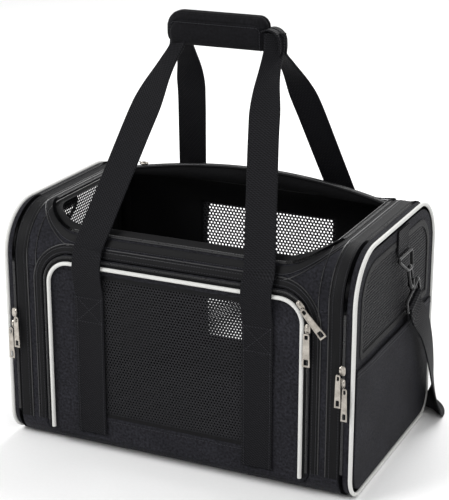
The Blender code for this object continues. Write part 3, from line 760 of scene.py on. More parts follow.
def pebble(centre, size, power=4.0, rows=14, cols=24):
    """A rounded block: |x/a|^p + |y/b|^p + |z/c|^p = 1, from two angles with signed powers."""
    v, u = np.meshgrid(np.linspace(-np.pi / 2, np.pi / 2, rows), np.arange(cols) / cols * 2 * np.pi, indexing="ij")
    rounded_power = lambda t: np.sign(t) * np.abs(t) ** (2 / power)
    x = rounded_power(np.cos(v)) * rounded_power(np.cos(u))
    y = rounded_power(np.cos(v)) * rounded_power(np.sin(u))
    points = np.stack([x, y, rounded_power(np.sin(v))], -1) * np.array(size) / 2 + np.array(centre)
    middle = [points[:1, :1, :].repeat(cols, 1), points[-1:, :1, :].repeat(cols, 1)]
    points = np.concatenate([middle[0], points[1:-1], middle[1]])
    return patch(points, wrap_j=True, flip=True)


def turned(patches, matrix, at):
    """Patches turned by a 3 by 3 matrix and moved."""
    return [(points @ np.array(matrix, float).T + np.array(at), faces, place) for points, faces, place in patches]


def turn_about_y(angle):
    c, s = math.cos(angle), math.sin(angle)
    return [[c, 0, s], [0, 1, 0], [-s, 0, c]]


def hem_round(low, high, radii, inset, width, thickness, to_space, up, spacing=0.004):
    """A flat tape sewn round a window, over the cut edge of its net."""
    (a0, b0), (a1, b1) = low, high
    inner = rounded((a0 + inset, b0 + inset), (a1 - inset, b1 - inset), [max(r - inset, 0.001) for r in radii], 6)
    path = even(to_space(inner[:, 0], inner[:, 1]), spacing, closed=True)
    return sweep(path, up, bar(width, thickness), closed=True)


def net_patches(outline, pitch, thread, thickness, to_space, margin=0.001):
    """A knitted net: rows of six-sided holes. Each cell is a ring of six quads in front and behind,
    between its border and its hole, joined by six more through the hole."""
    low, high, _ = outline
    row = pitch * math.sqrt(3) / 2
    b, a = np.meshgrid(np.arange(low[1], high[1] + row, row), np.arange(low[0], high[0] + pitch, pitch), indexing="ij")
    a = a + (np.arange(len(b)) % 2)[:, None] * pitch / 2
    centres = np.stack([a.ravel(), b.ravel()], 1)
    centres = centres[outside(centres[:, 0], centres[:, 1], outline) < margin]
    t = np.radians(np.arange(6) * 60 + 30)
    spoke = np.stack([np.cos(t), np.sin(t)], 1)
    border, hole = spoke * pitch / math.sqrt(3), spoke * (pitch - thread) / math.sqrt(3)
    flat = centres[:, None] + np.concatenate([border, hole])[None]
    flat = np.round(flat, 7)
    sides = [to_space(flat[..., 0], flat[..., 1], lift) for lift in (thickness / 2, -thickness / 2)]
    points = np.concatenate(sides, 1)
    k = np.arange(6)
    on = (k + 1) % 6
    front = np.stack([k, on, 6 + on, 6 + k], 1)
    back = front[:, ::-1] + 12
    wall = np.stack([6 + k, 6 + on, 18 + on, 18 + k], 1)
    faces = np.concatenate([front, back, wall])
    count = len(centres)
    place = np.concatenate([flat, flat], 1)[:, faces.ravel()].reshape(count, len(faces), 4, 2)
    all_faces = (faces[None] + 24 * np.arange(count)[:, None, None]).reshape(-1, 4)
    return [(points.reshape(-1, 3), all_faces, place.reshape(-1, 4, 2))]


def puff(made, fixed, pressure, cap_travel, voxel=0.005, frames=20):
    """Swells a padded piece with a short cloth simulation. fixed gives the share by which each point
    is held, and no point moves further than cap_travel."""
    scene = bpy.context.scene
    remesh = made.modifiers.new("even", "REMESH")
    remesh.mode = "VOXEL"
    remesh.voxel_size = voxel
    apply_modifiers(made)
    before = points_of(made.data)
    pinned = made.vertex_groups.new(name="held")
    for share in (0.0, 1.0):
        held = np.flatnonzero(fixed(before) == share)
        pinned.add(held.tolist(), share, "REPLACE")
    cloth = made.modifiers.new("swell", "CLOTH")
    cloth.settings.quality = 5
    cloth.settings.mass = 0.3
    cloth.settings.use_pressure = True
    cloth.settings.uniform_pressure_force = pressure
    cloth.settings.vertex_group_mass = "held"
    cloth.settings.effector_weights.gravity = 0.0
    cloth.point_cache.frame_end = frames
    for step in range(1, frames + 1):
        scene.frame_set(step)
    apply_modifiers(made)
    after = points_of(made.data)
    moved = after - before
    size = np.linalg.norm(moved, axis=1, keepdims=True)
    after = before + moved * np.minimum(1, cap_travel / np.maximum(size, 1e-9))
    made.data.vertices.foreach_set("co", after.astype(np.float32).ravel())
    made.vertex_groups.clear()
    scene.frame_set(1)
    finer = made.modifiers.new("finer", "SUBSURF")
    finer.levels = finer.render_levels = 1
    apply_modifiers(made)
    made.data.shade_smooth()
    return made


def points_of(mesh):
    co = np.zeros(len(mesh.vertices) * 3, np.float32)
    mesh.vertices.foreach_get("co", co)
    return co.reshape(-1, 3).astype(float)


def apply_modifiers(made):
    """Makes what the modifiers show the piece's own mesh."""
    ready = made.evaluated_get(bpy.context.evaluated_depsgraph_get())
    mesh = bpy.data.meshes.new_from_object(ready)
    made.modifiers.clear()
    old, made.data = made.data, mesh
    bpy.data.meshes.remove(old)
    mesh.name = made.name


# Pieces


def make_stage():
    """The camera, the pale floor that rises behind into a wall, and soft lights."""
    scene = bpy.context.scene
    scene.view_settings.view_transform = "Standard"
    eye = bpy.data.cameras.new("camera")
    eye.lens = 108.08
    eye.sensor_width = 36.0
    camera = bpy.data.objects.new("camera", eye)
    camera.location = (0.7327, -1.5707, 0.8214)
    camera.rotation_euler = (math.radians(71.17), 0, math.radians(24.96))
    scene.collection.objects.link(camera)
    scene.camera = camera

    across, back = np.linspace(-6, 6, 25), np.concatenate([np.linspace(-5, 3, 17), 3 + 2 * np.sin(np.radians(np.arange(6, 91, 6)))])
    rise = np.concatenate([np.zeros(17), 2 - 2 * np.cos(np.radians(np.arange(6, 91, 6)))])
    back, rise = np.append(back, 5.0), np.append(rise, 5.0)
    x, y = np.meshgrid(across, back, indexing="ij")
    points = np.stack([x, y, np.broadcast_to(rise, x.shape)], -1)
    mesh = bpy.data.meshes.new("floor")
    where, faces, place = patch(points)
    mesh.from_pydata(where.tolist(), [], faces.tolist())
    mesh.uv_layers.new(name="cloth").uv.foreach_set("vector", place.astype(np.float32).ravel())
    mesh.shade_smooth()
    mesh.materials.append(finish("paper"))
    floor = bpy.data.objects.new("floor", mesh)
    scene.collection.objects.link(floor)

    lights = (
        ("key", (-1.9, -2.0, 2.4), 1.8, 85.0),
        ("fill", (2.4, -1.2, 1.3), 1.6, 16.0),
        ("back", (0.2, 2.2, 2.6), 2.2, 85.0),
    )
    for name, place, size, power in lights:
        lamp = bpy.data.lights.new(name, "AREA")
        lamp.size = size
        lamp.energy = power
        made = bpy.data.objects.new(name, lamp)
        made.location = place
        aim = np.array((0, 0, 0.2)) - np.array(place)
        flat = math.hypot(aim[0], aim[1])
        made.rotation_euler = (math.atan2(flat, -aim[2]), 0, math.atan2(-aim[0], aim[1]))
        scene.collection.objects.link(made)
    world = bpy.data.worlds.new("studio")
    world.use_nodes = True
    sky = world.node_tree.nodes["Background"]
    sky.inputs["Color"].default_value = (1.0, 1.0, 1.0, 1.0)
    sky.inputs["Strength"].default_value = bpy.context.scene.carrier_sizes.room_light
    scene.world = world


def strap_line(side):
    """The shoulder strap's line and face direction: its face looks out from the end door, leans up as
    it nears the floor, and looks straight up along the floor."""
    route = np.array(DROP_ROUTE + RUN_ROUTE)
    route[-1, 0] *= side
    line = smooth(route, 4)
    drop, landing = 4 * (len(DROP_ROUTE) - 1), 4 * (len(DROP_ROUTE) + 1)
    i = np.arange(len(line))
    lean = 34 * np.clip(i / drop, 0, 1) ** 2 + 56 * ease((i - drop) / (landing - drop))
    lean = np.radians(lean)[:, None]
    ahead, _, _ = directions(line, (1, 0, 0))
    square = lambda v: unit(v - (ahead @ np.array(v))[:, None] * ahead)
    up = np.cos(lean) * square((1.0, 0, 0)) + np.sin(lean) * square((0, 0, 1.0))
    return line * (side, 1, 1), up * (side, 1, 1)


def on_the_floor(points, around, clear=0.0004):
    """A strip's sections kept over the floor. Where one would reach under it, each height in the
    section is high - (high - z) * (high - clear) / (high - low)."""
    rings = points.reshape(-1, around, 3).copy()
    z = rings[..., 2]
    low, high = z.min(1, keepdims=True), z.max(1, keepdims=True)
    rings[..., 2] = high - (high - z) * np.minimum(1, (high - clear) / (high - low))
    return rings.reshape(-1, 3)


def make_strap():
    """The shoulder strap in its two halves, each from its swivel loop to the adjuster behind."""
    adjuster_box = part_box("strap_adjuster")
    centre = (np.array(adjuster_box[0]) + np.array(adjuster_box[1])) / 2
    size = np.array(adjuster_box[1]) - np.array(adjuster_box[0])
    wire = size[2]
    ring = rounded(
        (wire / 2 - size[0] / 2, wire / 2 - size[1] / 2), (size[0] / 2 - wire / 2, size[1] / 2 - wire / 2), [0.003] * 4, 5
    )
    ring = np.concatenate([ring + centre[:2], np.full((len(ring), 1), centre[2])], 1)
    frame_bar = bar(0.0036, wire, round_steps=2)
    middle = np.array([[centre[0], centre[1] + k * (size[1] / 2 - 0.002), centre[2]] for k in np.linspace(-1, 1, 5)])
    patches = sweep(ring, (0, 0, 1), frame_bar, closed=True) + sweep(middle, (0, 0, 1), frame_bar)
    adjuster = settle("strap_adjuster_frame", patches, finish("acetal"), "root", ["strap_adjuster"])
    for word, side in SIDES.items():
        line, up = strap_line(side)
        replaced = [f"{word}_strap_drop"] + (["strap_floor_run"] if side > 0 else [])
        bend = ("root", f"{word}_door", (side * 0.2300, 0.1500, 0.0016), (side * 0.2375, 0.1250, 0.0300))
        around = selvedge(STRAP_W, WEBBING)
        cloth = [(on_the_floor(at, len(around)), faces, place) for at, faces, place in sweep(line, up, around)]
        strap = settle(f"{word}_shoulder_strap", cloth, finish("webbing"), bend, replaced)


def make_shell():
    """The body: one tube of cloth from end to end, with the doorway, the top opening and the rear
    window cut out of it."""
    x_keys = [-BODY_X, BODY_X] + [k * v for k in (-1, 1) for v in (DOORWAY[1][0], TOP_OPENING[1][0], REAR_WINDOW[1][0])]
    top_rows = [s_at(face, z_on_top(y)) for face, y in ((-1, TOP_OPENING[0][1]), (1, TOP_OPENING[1][1]))]
    s_keys = [0.0, TURN, s_at(-1, DOORWAY[0][1]), s_at(-1, DOORWAY[1][1])]
    s_keys += [s_at(1, REAR_WINDOW[0][1]), s_at(1, REAR_WINDOW[1][1])] + top_rows

    def beyond(outline, face):
        def edge(x, s):
            y, z, _, _ = side_point(s)
            if face:
                return np.where((y * face > 0.07) & (z < 0.280), -outside(x, z, outline), -0.05)
            return np.where(z > 0.225, -outside(x, y, outline), -0.05)

        return edge

    edges = [beyond(DOORWAY, -1), beyond(TOP_OPENING, 0), beyond(REAR_WINDOW, 1)]
    x, s, keep = cut_cloth(lines(x_keys, 0.0036), lines(s_keys, 0.0036), edges)
    points, _ = on_shell(x, s)
    replaced = ["front_surround", "rear_shoulder", "rear_wall", "floor_panel"]
    cloth = np.stack([x, s], -1)
    shell = settle("body_shell", [patch(points, keep=keep, cloth=cloth)], finish("shell"), "root", replaced)
    thicken(shell, CLOTH)

    rear = lambda a, b, lift=0.0: np.stack([-a, 0 * a + WALL_Y - 0.0016 + lift, b], -1)
    net = net_patches(REAR_WINDOW, bpy.context.scene.carrier_sizes.rear_net, 0.0021, 0.0006, rear)
    settle("rear_window_net", net, finish("net"), "root", ["rear_mesh"], sharp=0)
    binding = hem_round(*REAR_WINDOW, 0.0010, 0.0090, 0.0008, rear, (0, 1, 0))
    binding = [(p + (0, 0.0018, 0), f, c) for p, f, c in binding]
    settle("rear_window_binding", binding, finish("tape"), "root")


def opening_line(outline, out):
    """The top opening's outline moved out by a distance, as (x, s) points on the shell."""
    low, high, radii = outline
    ring = rounded(np.array(low) - out, np.array(high) + out, np.array(radii) + out, 14)
    ring = even(ring, 0.004, closed=True)
    y = ring[:, 1]
    half = np.interp(np.abs(y), [0, WALL_Y - TOP_R], [0, WALL_Y - TOP_R])
    over = np.arcsin(np.clip((np.abs(y) - (WALL_Y - TOP_R)) / TOP_R, 0, 1)) * TOP_R
    s = TURN / 2 + np.sign(y) * (half + over)
    return np.stack([ring[:, 0], s], 1)


def make_top_rim():
    """The rim of the top opening: a folded binding over the cut edge, the tape and the coil of the
    zip that would close the flap, and the rows of stitches that hold them."""
    size = bpy.context.scene.carrier_sizes
    tape, tape_up = line_on(opening_line(TOP_OPENING, 0.0062), 0.0002)
    coil, coil_up = line_on(opening_line(TOP_OPENING, 0.0008), 0.0010)
    inner, inner_up = line_on(opening_line(TOP_OPENING, -0.0040), -0.0030)
    settle("top_rim_tape", sweep(tape, tape_up, bar(0.0090, 0.0009), closed=True), finish("tape"), "root")
    settle("top_rim_inner_tape", sweep(inner, inner_up, bar(0.0100, 0.0008), closed=True), finish("tape"), "root")
    settle("top_rim_coil", zip_coil(coil, coil_up, size.zip_pitch, closed=True), finish("coil"), "root")
    seam, seam_up = line_on(opening_line(TOP_OPENING, 0.0112), 0.0002)
    settle("top_rim_seam", sweep(seam, seam_up, circle(0.0008, 8), closed=True), finish("coil"), "root")
    row, row_up = line_on(opening_line(TOP_OPENING, 0.0086), 0.0009)
    settle("top_rim_stitches", stitches(row, row_up, closed=True), finish("thread"), "root")


def make_top_flap():
    """The net flap, rolled up along the rear of the opening. Across the roll it is a spiral, whose
    radius grows from a quarter of the roll's to all of it, and the roll thins towards its ends."""
    low, high = (np.array(corner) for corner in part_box("top_flap_roll"))
    half, seam_y, seam_z = high[0] - 0.0005, high[1], low[2]
    turns, thin, thick, bow = 5.0, 0.0030, 0.0124, 0.0280
    x, t = np.meshgrid(np.linspace(-half, half, 120), np.linspace(0, 1, 180), indexing="ij")
    bulk = thin + (thick - thin) * np.cos(np.pi / 2 * x / half).clip(0) ** 0.8
    angle = np.radians(-35) - 2 * np.pi * turns * (1 - t)
    folds = 0.05 * np.sin(3 * angle + 9 * x) * ease((np.abs(x) - 0.07) / 0.09) + 0.018 * np.sin(95 * x + 2 * angle)
    radius = bulk * (0.25 + 0.75 * t) * (0.95 + folds)
    drawn = bow * (x / half) ** 2
    y, z = seam_y - bulk - drawn + radius * np.cos(angle), seam_z + bulk + radius * np.sin(angle)
    points = np.stack([x, y, z], -1)
    flap = settle(
        "top_flap", [patch(points, flip=True)], finish("lining"), "top_flap", ["top_flap_roll"], sharp=0
    )
    edges = [sweep(points[k], (1, 0, 0), circle(0.0010, 8)) for k in (0, -1)]
    binding = settle("top_flap_binding", edges[0] + edges[1], finish("coil"), "top_flap")
    middle_y = seam_y - bulk - drawn
    crest = np.stack([points[:, 0, 0], (middle_y - 0.35 * bulk)[:, 0], (seam_z + bulk + 0.90 * bulk)[:, 0]], 1)
    crest_up = unit(np.array([0.0, -0.35, 0.94]))
    tape = settle("top_flap_tape", sweep(crest, crest_up, bar(0.0070, 0.0010)), finish("tape"), "top_flap")
    coil = settle(
        "top_flap_coil", zip_coil(crest + crest_up * 0.0006, crest_up, 0.002, 0.0016, 0.0012), finish("coil"), "top_flap"
    )
    centre, size = box_middle("top_flap_zip_pull")
    body = pebble(centre, (size[0], size[1], size[2] * 0.7), 3.0)
    a = np.linspace(0, np.pi, 9)
    bow_line = np.stack([0.006 * np.cos(a), -0.001 - 0.003 * np.sin(a), 0.0022 + 0 * a], 1)
    link = sweep(centre + bow_line, (0, 0, 1), circle(0.0007, 8))
    settle("top_flap_pull", [body] + link, finish("nickel"), "top_flap", ["top_flap_zip_pull"])


def box_middle(node):
    """The middle and the size of a CAD node's box."""
    low, high = (np.array(corner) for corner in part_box(node))
    return (low + high) / 2, high - low


def on_front(lift=0.0):
    """Sends (x, z) on the front wall to a point, lift in front of it."""
    return lambda x, z, more=0.0: np.stack([x, 0 * x - WALL_Y - lift - more, z], -1)


def outline_path(outline, inset, spacing=0.003, to_space=None, steps=14):
    """An outline drawn in by inset, as points the same distance apart, and sent to space if asked."""
    low, high, radii = outline
    ring = rounded(np.array(low) + inset, np.array(high) - inset, np.maximum(np.array(radii) - inset, 0.0008), steps)
    ring = even(ring, spacing, closed=True)
    return ring if to_space is None else to_space(ring[:, 0], ring[:, 1])


def open_round(outline, inset, foot_rise, spacing=0.003):
    """Up one side of an outline, over the top and down the other, from foot_rise above its foot."""
    (a0, b0), (a1, b1), radii = outline
    r = radii[0] - inset
    a0, a1, b1 = a0 + inset, a1 - inset, b1 - inset
    sides = [[[a1, b0 + foot_rise]], arc((a1 - r, b1 - r), r, 0, 90, 14), arc((a0 + r, b1 - r), r, 90, 180, 14), [[a0, b0 + foot_rise]]]
    return even(np.concatenate(sides), spacing)


def make_front_door():
    """The front door: its cloth panel, net window, white piping, zip and stitches."""
    size = bpy.context.scene.carrier_sizes
    outline = ((-DOOR_HALF, DOOR_FOOT), (DOOR_HALF, DOOR_TOP), DOOR_RADII)
    keys_x = [-DOOR_HALF, DOOR_HALF, FRONT_WINDOW[0][0], FRONT_WINDOW[1][0]]
    keys_z = [DOOR_FOOT, DOOR_TOP, FRONT_WINDOW[0][1], FRONT_WINDOW[1][1]]
    edges = [lambda a, b: outside(a, b, outline), lambda a, b: -outside(a, b, FRONT_WINDOW)]
    x, z, keep = cut_cloth(lines(keys_x, 0.0030), lines(keys_z, 0.0030), edges)
    border = np.minimum(-outside(x, z, outline), np.maximum(outside(x, z, FRONT_WINDOW), 0))
    dip = 0.0005 * ease(border / 0.012) * (1 + 0.6 * np.sin(61 * x + 37 * z) + 0.4 * np.sin(29 * x - 83 * z))
    points = np.stack([x, -WALL_Y + dip, z], -1)
    panel = settle(
        "front_door_cloth", [patch(points, keep=keep, cloth=np.stack([x, z], -1))], finish("shell"), "front_door",
        ["front_door_panel"],
    )
    thicken(panel, CLOTH)

    net_place = lambda a, b, lift=0.0: np.stack([a, 0 * a - WALL_Y + 0.0012 - lift, b], -1)
    net = net_patches(FRONT_WINDOW, size.front_net, 0.0014, 0.0006, net_place)
    settle("front_window_net", net, finish("net"), "front_door", ["front_door_mesh"], sharp=0)
    binding = hem_round(*FRONT_WINDOW, 0.0012, 0.0070, 0.0007, on_front(-0.0006), (0, -1, 0))
    settle("front_window_binding", binding, finish("tape"), "front_door")

    piping_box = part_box("front_door_piping")
    low = (piping_box[0].x + PIPING_R, piping_box[0].z + PIPING_R)
    high = (piping_box[1].x - PIPING_R, piping_box[1].z - PIPING_R)
    radius = DOOR_RADII[0] - 0.0090
    piped = (low, high, (radius, radius, 0.008, 0.008))
    run = open_round(piped, 0.0, 0.0, 0.0025)
    path = on_front(0.0003 + PIPING_R)(run[:, 0], run[:, 1])
    settle(
        "front_door_white_piping", sweep(path, (0, -1, 0), circle(PIPING_R, 16)), finish("piping"), "front_door",
        ["front_door_piping"],
    )
    run = open_round(piped, -0.0030, 0.0)
    flange = on_front(0.0003)(run[:, 0], run[:, 1])
    settle("front_door_piping_tape", sweep(flange, (0, -1, 0), bar(0.0060, 0.0007)), finish("tape"), "front_door")

    chain = open_round(outline, 0.0020, 0.014, 0.003)
    place = on_front(0.0001)
    coil = zip_coil(place(chain[:, 0], chain[:, 1]), (0, -1, 0), size.zip_pitch, 0.0018, 0.0024)
    settle("front_door_coil", coil, finish("coil"), "front_door", ["front_door_zip"])
    tape = open_round(outline, 0.0042, 0.014)
    settle(
        "front_door_zip_tape", sweep(on_front(0.0003)(tape[:, 0], tape[:, 1]), (0, -1, 0), bar(0.0042, 0.0006)), finish("tape"),
        "front_door",
    )
    ring = open_round(DOORWAY, -0.0050, 0.016)
    surface = np.stack([ring[:, 0], np.array([s_at(-1, z) for z in ring[:, 1]])], 1)
    path, up = line_on(surface, 0.0005)
    settle("doorway_zip_tape", sweep(path, up, bar(0.0094, 0.0008)), finish("tape"), "root")
    ring = outline_path(DOORWAY, 0.0005)
    path, up = line_on(np.stack([ring[:, 0], np.array([s_at(-1, z) for z in ring[:, 1]])], 1), -0.0034)
    settle("doorway_inner_tape", sweep(path, up, bar(0.0110, 0.0008), closed=True), finish("tape"), "root")
    rows = []
    for gap in (0.0024, 0.0076):
        ring = open_round(DOORWAY, -gap, 0.016)
        path, up = line_on(np.stack([ring[:, 0], np.array([s_at(-1, z) for z in ring[:, 1]])], 1), 0.0010)
        rows += stitches(path, up)
    settle("doorway_stitches", rows, finish("thread"), "root")
    ring = open_round(DOORWAY, -0.0108, 0.016)
    path, up = line_on(np.stack([ring[:, 0], np.array([s_at(-1, z) for z in ring[:, 1]])], 1), 0.0004)
    settle("doorway_seam", sweep(path, up, circle(0.0009, 8)), finish("coil"), "root")
    row = outline_path(FRONT_WINDOW, -0.0045, 0.003, on_front(0.0002))
    settle("front_window_stitches", stitches(row, (0, -1, 0), closed=True), finish("thread"), "front_door")


def make_shoulder_seams():
    """The seams across the narrow strips beside the front door, where the shoulder's cloth meets the
    side's: a felled edge with a row of stitches above it."""
    z = 0.2260
    ridges, rows = [], []
    for side in SIDES.values():
        x = np.linspace(DOORWAY[1][0] + 0.0115, BODY_X - 0.0165, 8)
        path, up = on_shell(side * x, np.full(8, s_at(-1, z)), 0.0002)
        ridges += sweep(path, up, bar(0.0030, 0.0011))
        path, up = on_shell(side * x, np.full(8, s_at(-1, z + 0.0035)), 0.0002)
        rows += stitches(path, up)
    settle("shoulder_seams", ridges, finish("shell"), "root")
    settle("shoulder_seam_stitches", rows, finish("thread"), "root")


def leg_line(side, sign):
    """A handle leg's line, the way its face looks, and its width and thickness at each point. It runs
    up the wall, over the piping, leans in, narrows a little as it is gathered, and goes into the grip."""
    bow = ((0.1413, SEWN_LOW), (0.1413, 0.0850), (0.1413, 0.1450), (0.1413, 0.1930), (0.1413, 0.2035))
    bow += ((0.1440, 0.2150), (0.1466, 0.2270), (0.1470, 0.2400), (0.1436, 0.2520), (0.1375, 0.2640))
    lean = ((0.1200, 0.2990), (0.0950, 0.3485), (0.0700, 0.3980), (0.0450, 0.4400), (0.0240, 0.4640), (0.0090, 0.4780))
    lean += ((0.0060, 0.4850), (0.0048, 0.5030)) if side > 0 else ((0.0060, 0.4840), (0.0055, 0.4890))
    foot_z, top_z = bow[-1][1], 0.4780
    share = [min(1.0, max(0.0, (z - foot_z) / (top_z - foot_z))) for _, z in bow + lean]
    top_x = STRAP_TOP_X[side] - (0.0010 if side > 0 else -0.0075)
    points = [(side * STRAP_X + (top_x - side * STRAP_X) * k, out, z) for k, (out, z) in zip(share, bow + lean)]
    line = even(smooth(points, 8), 0.004)
    z = line[:, 2]
    up = np.broadcast_to((0.0, sign, 0.35), line.shape) + np.array((0.30 * side, 0, 0)) * ease((z - 0.40) / 0.08)[:, None]
    gathered = ease((z - 0.415) / 0.060)
    width = STRAP_W - 0.014 * gathered
    thick = WEBBING * (1 + 0.6 * gathered)
    return line * (1, sign, 1), up, width, thick


def grip_loop(sign):
    """The webbing that comes out of the grip's right end, arches over and runs down on the leg."""
    turn = arc((0.0610, 0.4920), 0.0145, 100, -4, 12)
    xz = np.concatenate([[(0.0500, 0.5030)], turn, [(0.0757, 0.4860), (0.0750, 0.4780)]])
    line = even(np.stack([xz[:, 0], np.full(len(xz), sign * 0.0062), xz[:, 1]], 1), 0.0025)
    up = unit(line - (0.0550, sign * 0.0062, 0.4820))
    return sweep(line, up, selvedge(0.0112, WEBBING * 1.2), across=np.broadcast_to((0.0, 1.0, 0.0), line.shape))


def make_handles():
    """The two webbing handles. Each leg is sewn to its wall below and free above."""
    for face, sign in FACES.items():
        wall = "front_door" if sign < 0 else "root"
        for word, side in SIDES.items():
            line, up, width, thick = leg_line(side, sign)
            profile = np.stack([selvedge(w, t) for w, t in zip(width, thick)])
            bend = (wall, f"{face}_handle", (0, sign * 0.1425, 0.2025), (0, sign * 0.1425, 0.2075))
            replaced = [f"{face}_{word}_sewn_strap", f"{face}_{word}_handle_leg"]
            settle(f"{face}_{word}_handle_webbing", sweep(line, up, profile), finish("webbing"), bend, replaced)
        settle(f"{face}_grip_end_loop", grip_loop(sign), finish("webbing"), f"{face}_handle")
        rows = []
        y = sign * (0.1413 + WEBBING / 2 + 0.0001)
        for side in SIDES.values():
            middle, edge = side * STRAP_X, STRAP_W / 2 - 0.0028
            low, high, cross_low = SEWN_LOW + 0.002, SEWN_HIGH - 0.004, SEWN_HIGH - 0.034
            runs = [((-edge, low), (-edge, high)), ((edge, low), (edge, high)), ((-edge, high), (edge, high))]
            runs += [((-edge, cross_low), (edge, cross_low)), ((-edge, cross_low), (edge, high)), ((edge, cross_low), (-edge, high))]
            for (a0, b0), (a1, b1) in runs:
                path = np.array([[middle + a0, y, b0], [middle + a1, y, b1]])
                rows += stitches(path, (0, sign, 0))
        settle(f"{face}_strap_stitches", rows, finish("thread"), wall)


GRIP_PANEL = ((GRIP_LOW.x + 0.0075, GRIP_LOW.z - 0.020), (GRIP_HIGH.x - 0.0075, GRIP_HIGH.z - 0.0125), (0.008, 0.017, 0.002, 0.002))


def grip_shape(sign):
    """Half of the padded wrap as a closed form. Seen from the front it is a rounded rectangle whose
    depth rises from its edge as a quarter ellipse."""
    low, high = (np.array(corner) for corner in (GRIP_LOW, GRIP_HIGH))
    inset = 0.0014
    outline = ((low[0] + inset, low[2] + inset), (high[0] - inset, high[2] - inset), (0.014, 0.021, 0.013, 0.008))
    keys = [lines([outline[0][k], outline[1][k]], 0.0011) for k in (0, 1)]
    x, z, keep = cut_cloth(*keys, [lambda a, b: outside(a, b, outline)])
    deep = np.clip(-outside(x, z, outline), 0, None)
    crown = np.sqrt(np.clip(1 - (1 - np.clip(deep / 0.0150, 0, 1)) ** 2, 0, 1))
    out = crown * (high[1] - low[1] - 0.0034)
    front = np.stack([x, sign * (0.0006 + out), z], -1)
    back = np.stack([x, sign * (0.0006 + 0 * out), z], -1)
    cloth = np.stack([x, z], -1)
    return [patch(front, keep=keep, cloth=cloth, flip=sign > 0), patch(back, keep=keep, cloth=cloth, flip=sign < 0)]


def sewn_grip(half, sign):
    """Presses the seam round the grip's fuller front panel into it, and lays the cloth on it again.
    The groove is a bell across the seam's line, and the panel inside stands a little proud."""
    point = points_of(half.data)
    seam = outside(point[:, 0], point[:, 2], GRIP_PANEL)
    facing = ease(np.abs(point[:, 1]) / 0.006)
    point[:, 1] += sign * facing * (0.0007 * ease(-seam / 0.004) - 0.0014 * np.exp(-((seam / 0.0013) ** 2)))
    half.data.vertices.foreach_set("co", point.astype(np.float32).ravel())
    corner = np.zeros(len(half.data.loops), np.int32)
    half.data.loops.foreach_get("vertex_index", corner)
    cloth = half.data.uv_layers.get("cloth") or half.data.uv_layers.new(name="cloth")
    on_cloth = np.stack([point[:, 0], point[:, 2] + 0.6 * np.abs(point[:, 1])], 1)[corner]
    cloth.uv.foreach_set("vector", on_cloth.astype(np.float32).ravel())


def make_grip():
    """The padded wrap round both handles: a front and a rear half, each swollen as a stuffed form,
    with the seam of its front panel and a row of stitches inside it."""
    for face, sign in FACES.items():
        body = f"{face}_handle"
        half = settle(f"{face}_grip_wrap", grip_shape(sign), finish("grip"), body, [f"{face}_grip_pad"], sharp=0)
        puff(half, lambda p: (np.abs(p[:, 1]) < 0.0016).astype(float), 4.0, 0.0024, 0.0022)
        sewn_grip(half, sign)
        low, high, radii = GRIP_PANEL
        ring = open_round(((low[0], GRIP_LOW.z + 0.002), high, radii), 0.0024, 0.0, 0.0020)
        near = np.abs(points_of(half.data)[:, None, ::2] - ring[None]).max(-1)
        depth = np.where(near < 0.0022, np.abs(points_of(half.data)[:, 1])[:, None], 0).max(0)
        path = np.stack([ring[:, 0], sign * (np.maximum(depth, 0.004) + 0.0001), ring[:, 1]], 1)
        settle(f"{face}_grip_stitches", stitches(path, (0, sign, 0)), finish("thread"), body)


def make_mat():
    """The floor inside: a wrapped board, and a fleece mat over it with sewn channels."""
    centre, size = box_middle("base_board")
    board = pebble(centre, size, 14.0, 10, 64)
    settle("wrapped_base_board", [board], finish("board"), "root", ["base_board"])
    centre, size = box_middle("pet_mat")
    half = size / 2 - (0.004, 0.004, 0.0022)
    x, y = np.meshgrid(np.linspace(-1, 1, 97), np.linspace(-1, 1, 59), indexing="ij")
    crown = ((1 - np.abs(x) ** 8) * (1 - np.abs(y) ** 8)).clip(0) ** 0.5
    top = np.stack([centre[0] + half[0] * x, centre[1] + half[1] * y, centre[2] - half[2] + 2 * half[2] * crown], -1)
    foot = np.stack([centre[0] + half[0] * x, centre[1] + half[1] * y, 0 * x + centre[2] - half[2]], -1)
    mat = settle("fleece_mat", [patch(top), patch(foot, flip=True)], finish("fleece"), "root", ["pet_mat"], sharp=0)
    puff(mat, lambda p: (p[:, 2] < centre[2] - half[2] + 0.0012).astype(float), 2.0, 0.0016, 0.0045)
    point = points_of(mat.data)
    top_share = ease((point[:, 2] - centre[2]) / 0.002)
    sewn = np.exp(-((np.abs((point[:, 0] / 0.066 + 0.5) % 1 - 0.5) * 0.066 / 0.0040) ** 2))
    point[:, 2] -= 0.0030 * sewn * top_share
    mat.data.vertices.foreach_set("co", point.astype(np.float32).ravel())


def end_outline(inset, spacing=0.003, base=None):
    """The carrier seen from an end, drawn in by inset, as (y, z)."""
    base = DOOR_BASE_Z if base is None else base
    low, high = (inset - WALL_Y, base + inset), (WALL_Y - inset, HEIGHT - inset)
    ring = rounded(low, high, np.array([TOP_R, TOP_R, BOTTOM_R, BOTTOM_R]) - inset, 14)
    return even(ring, spacing, closed=True)


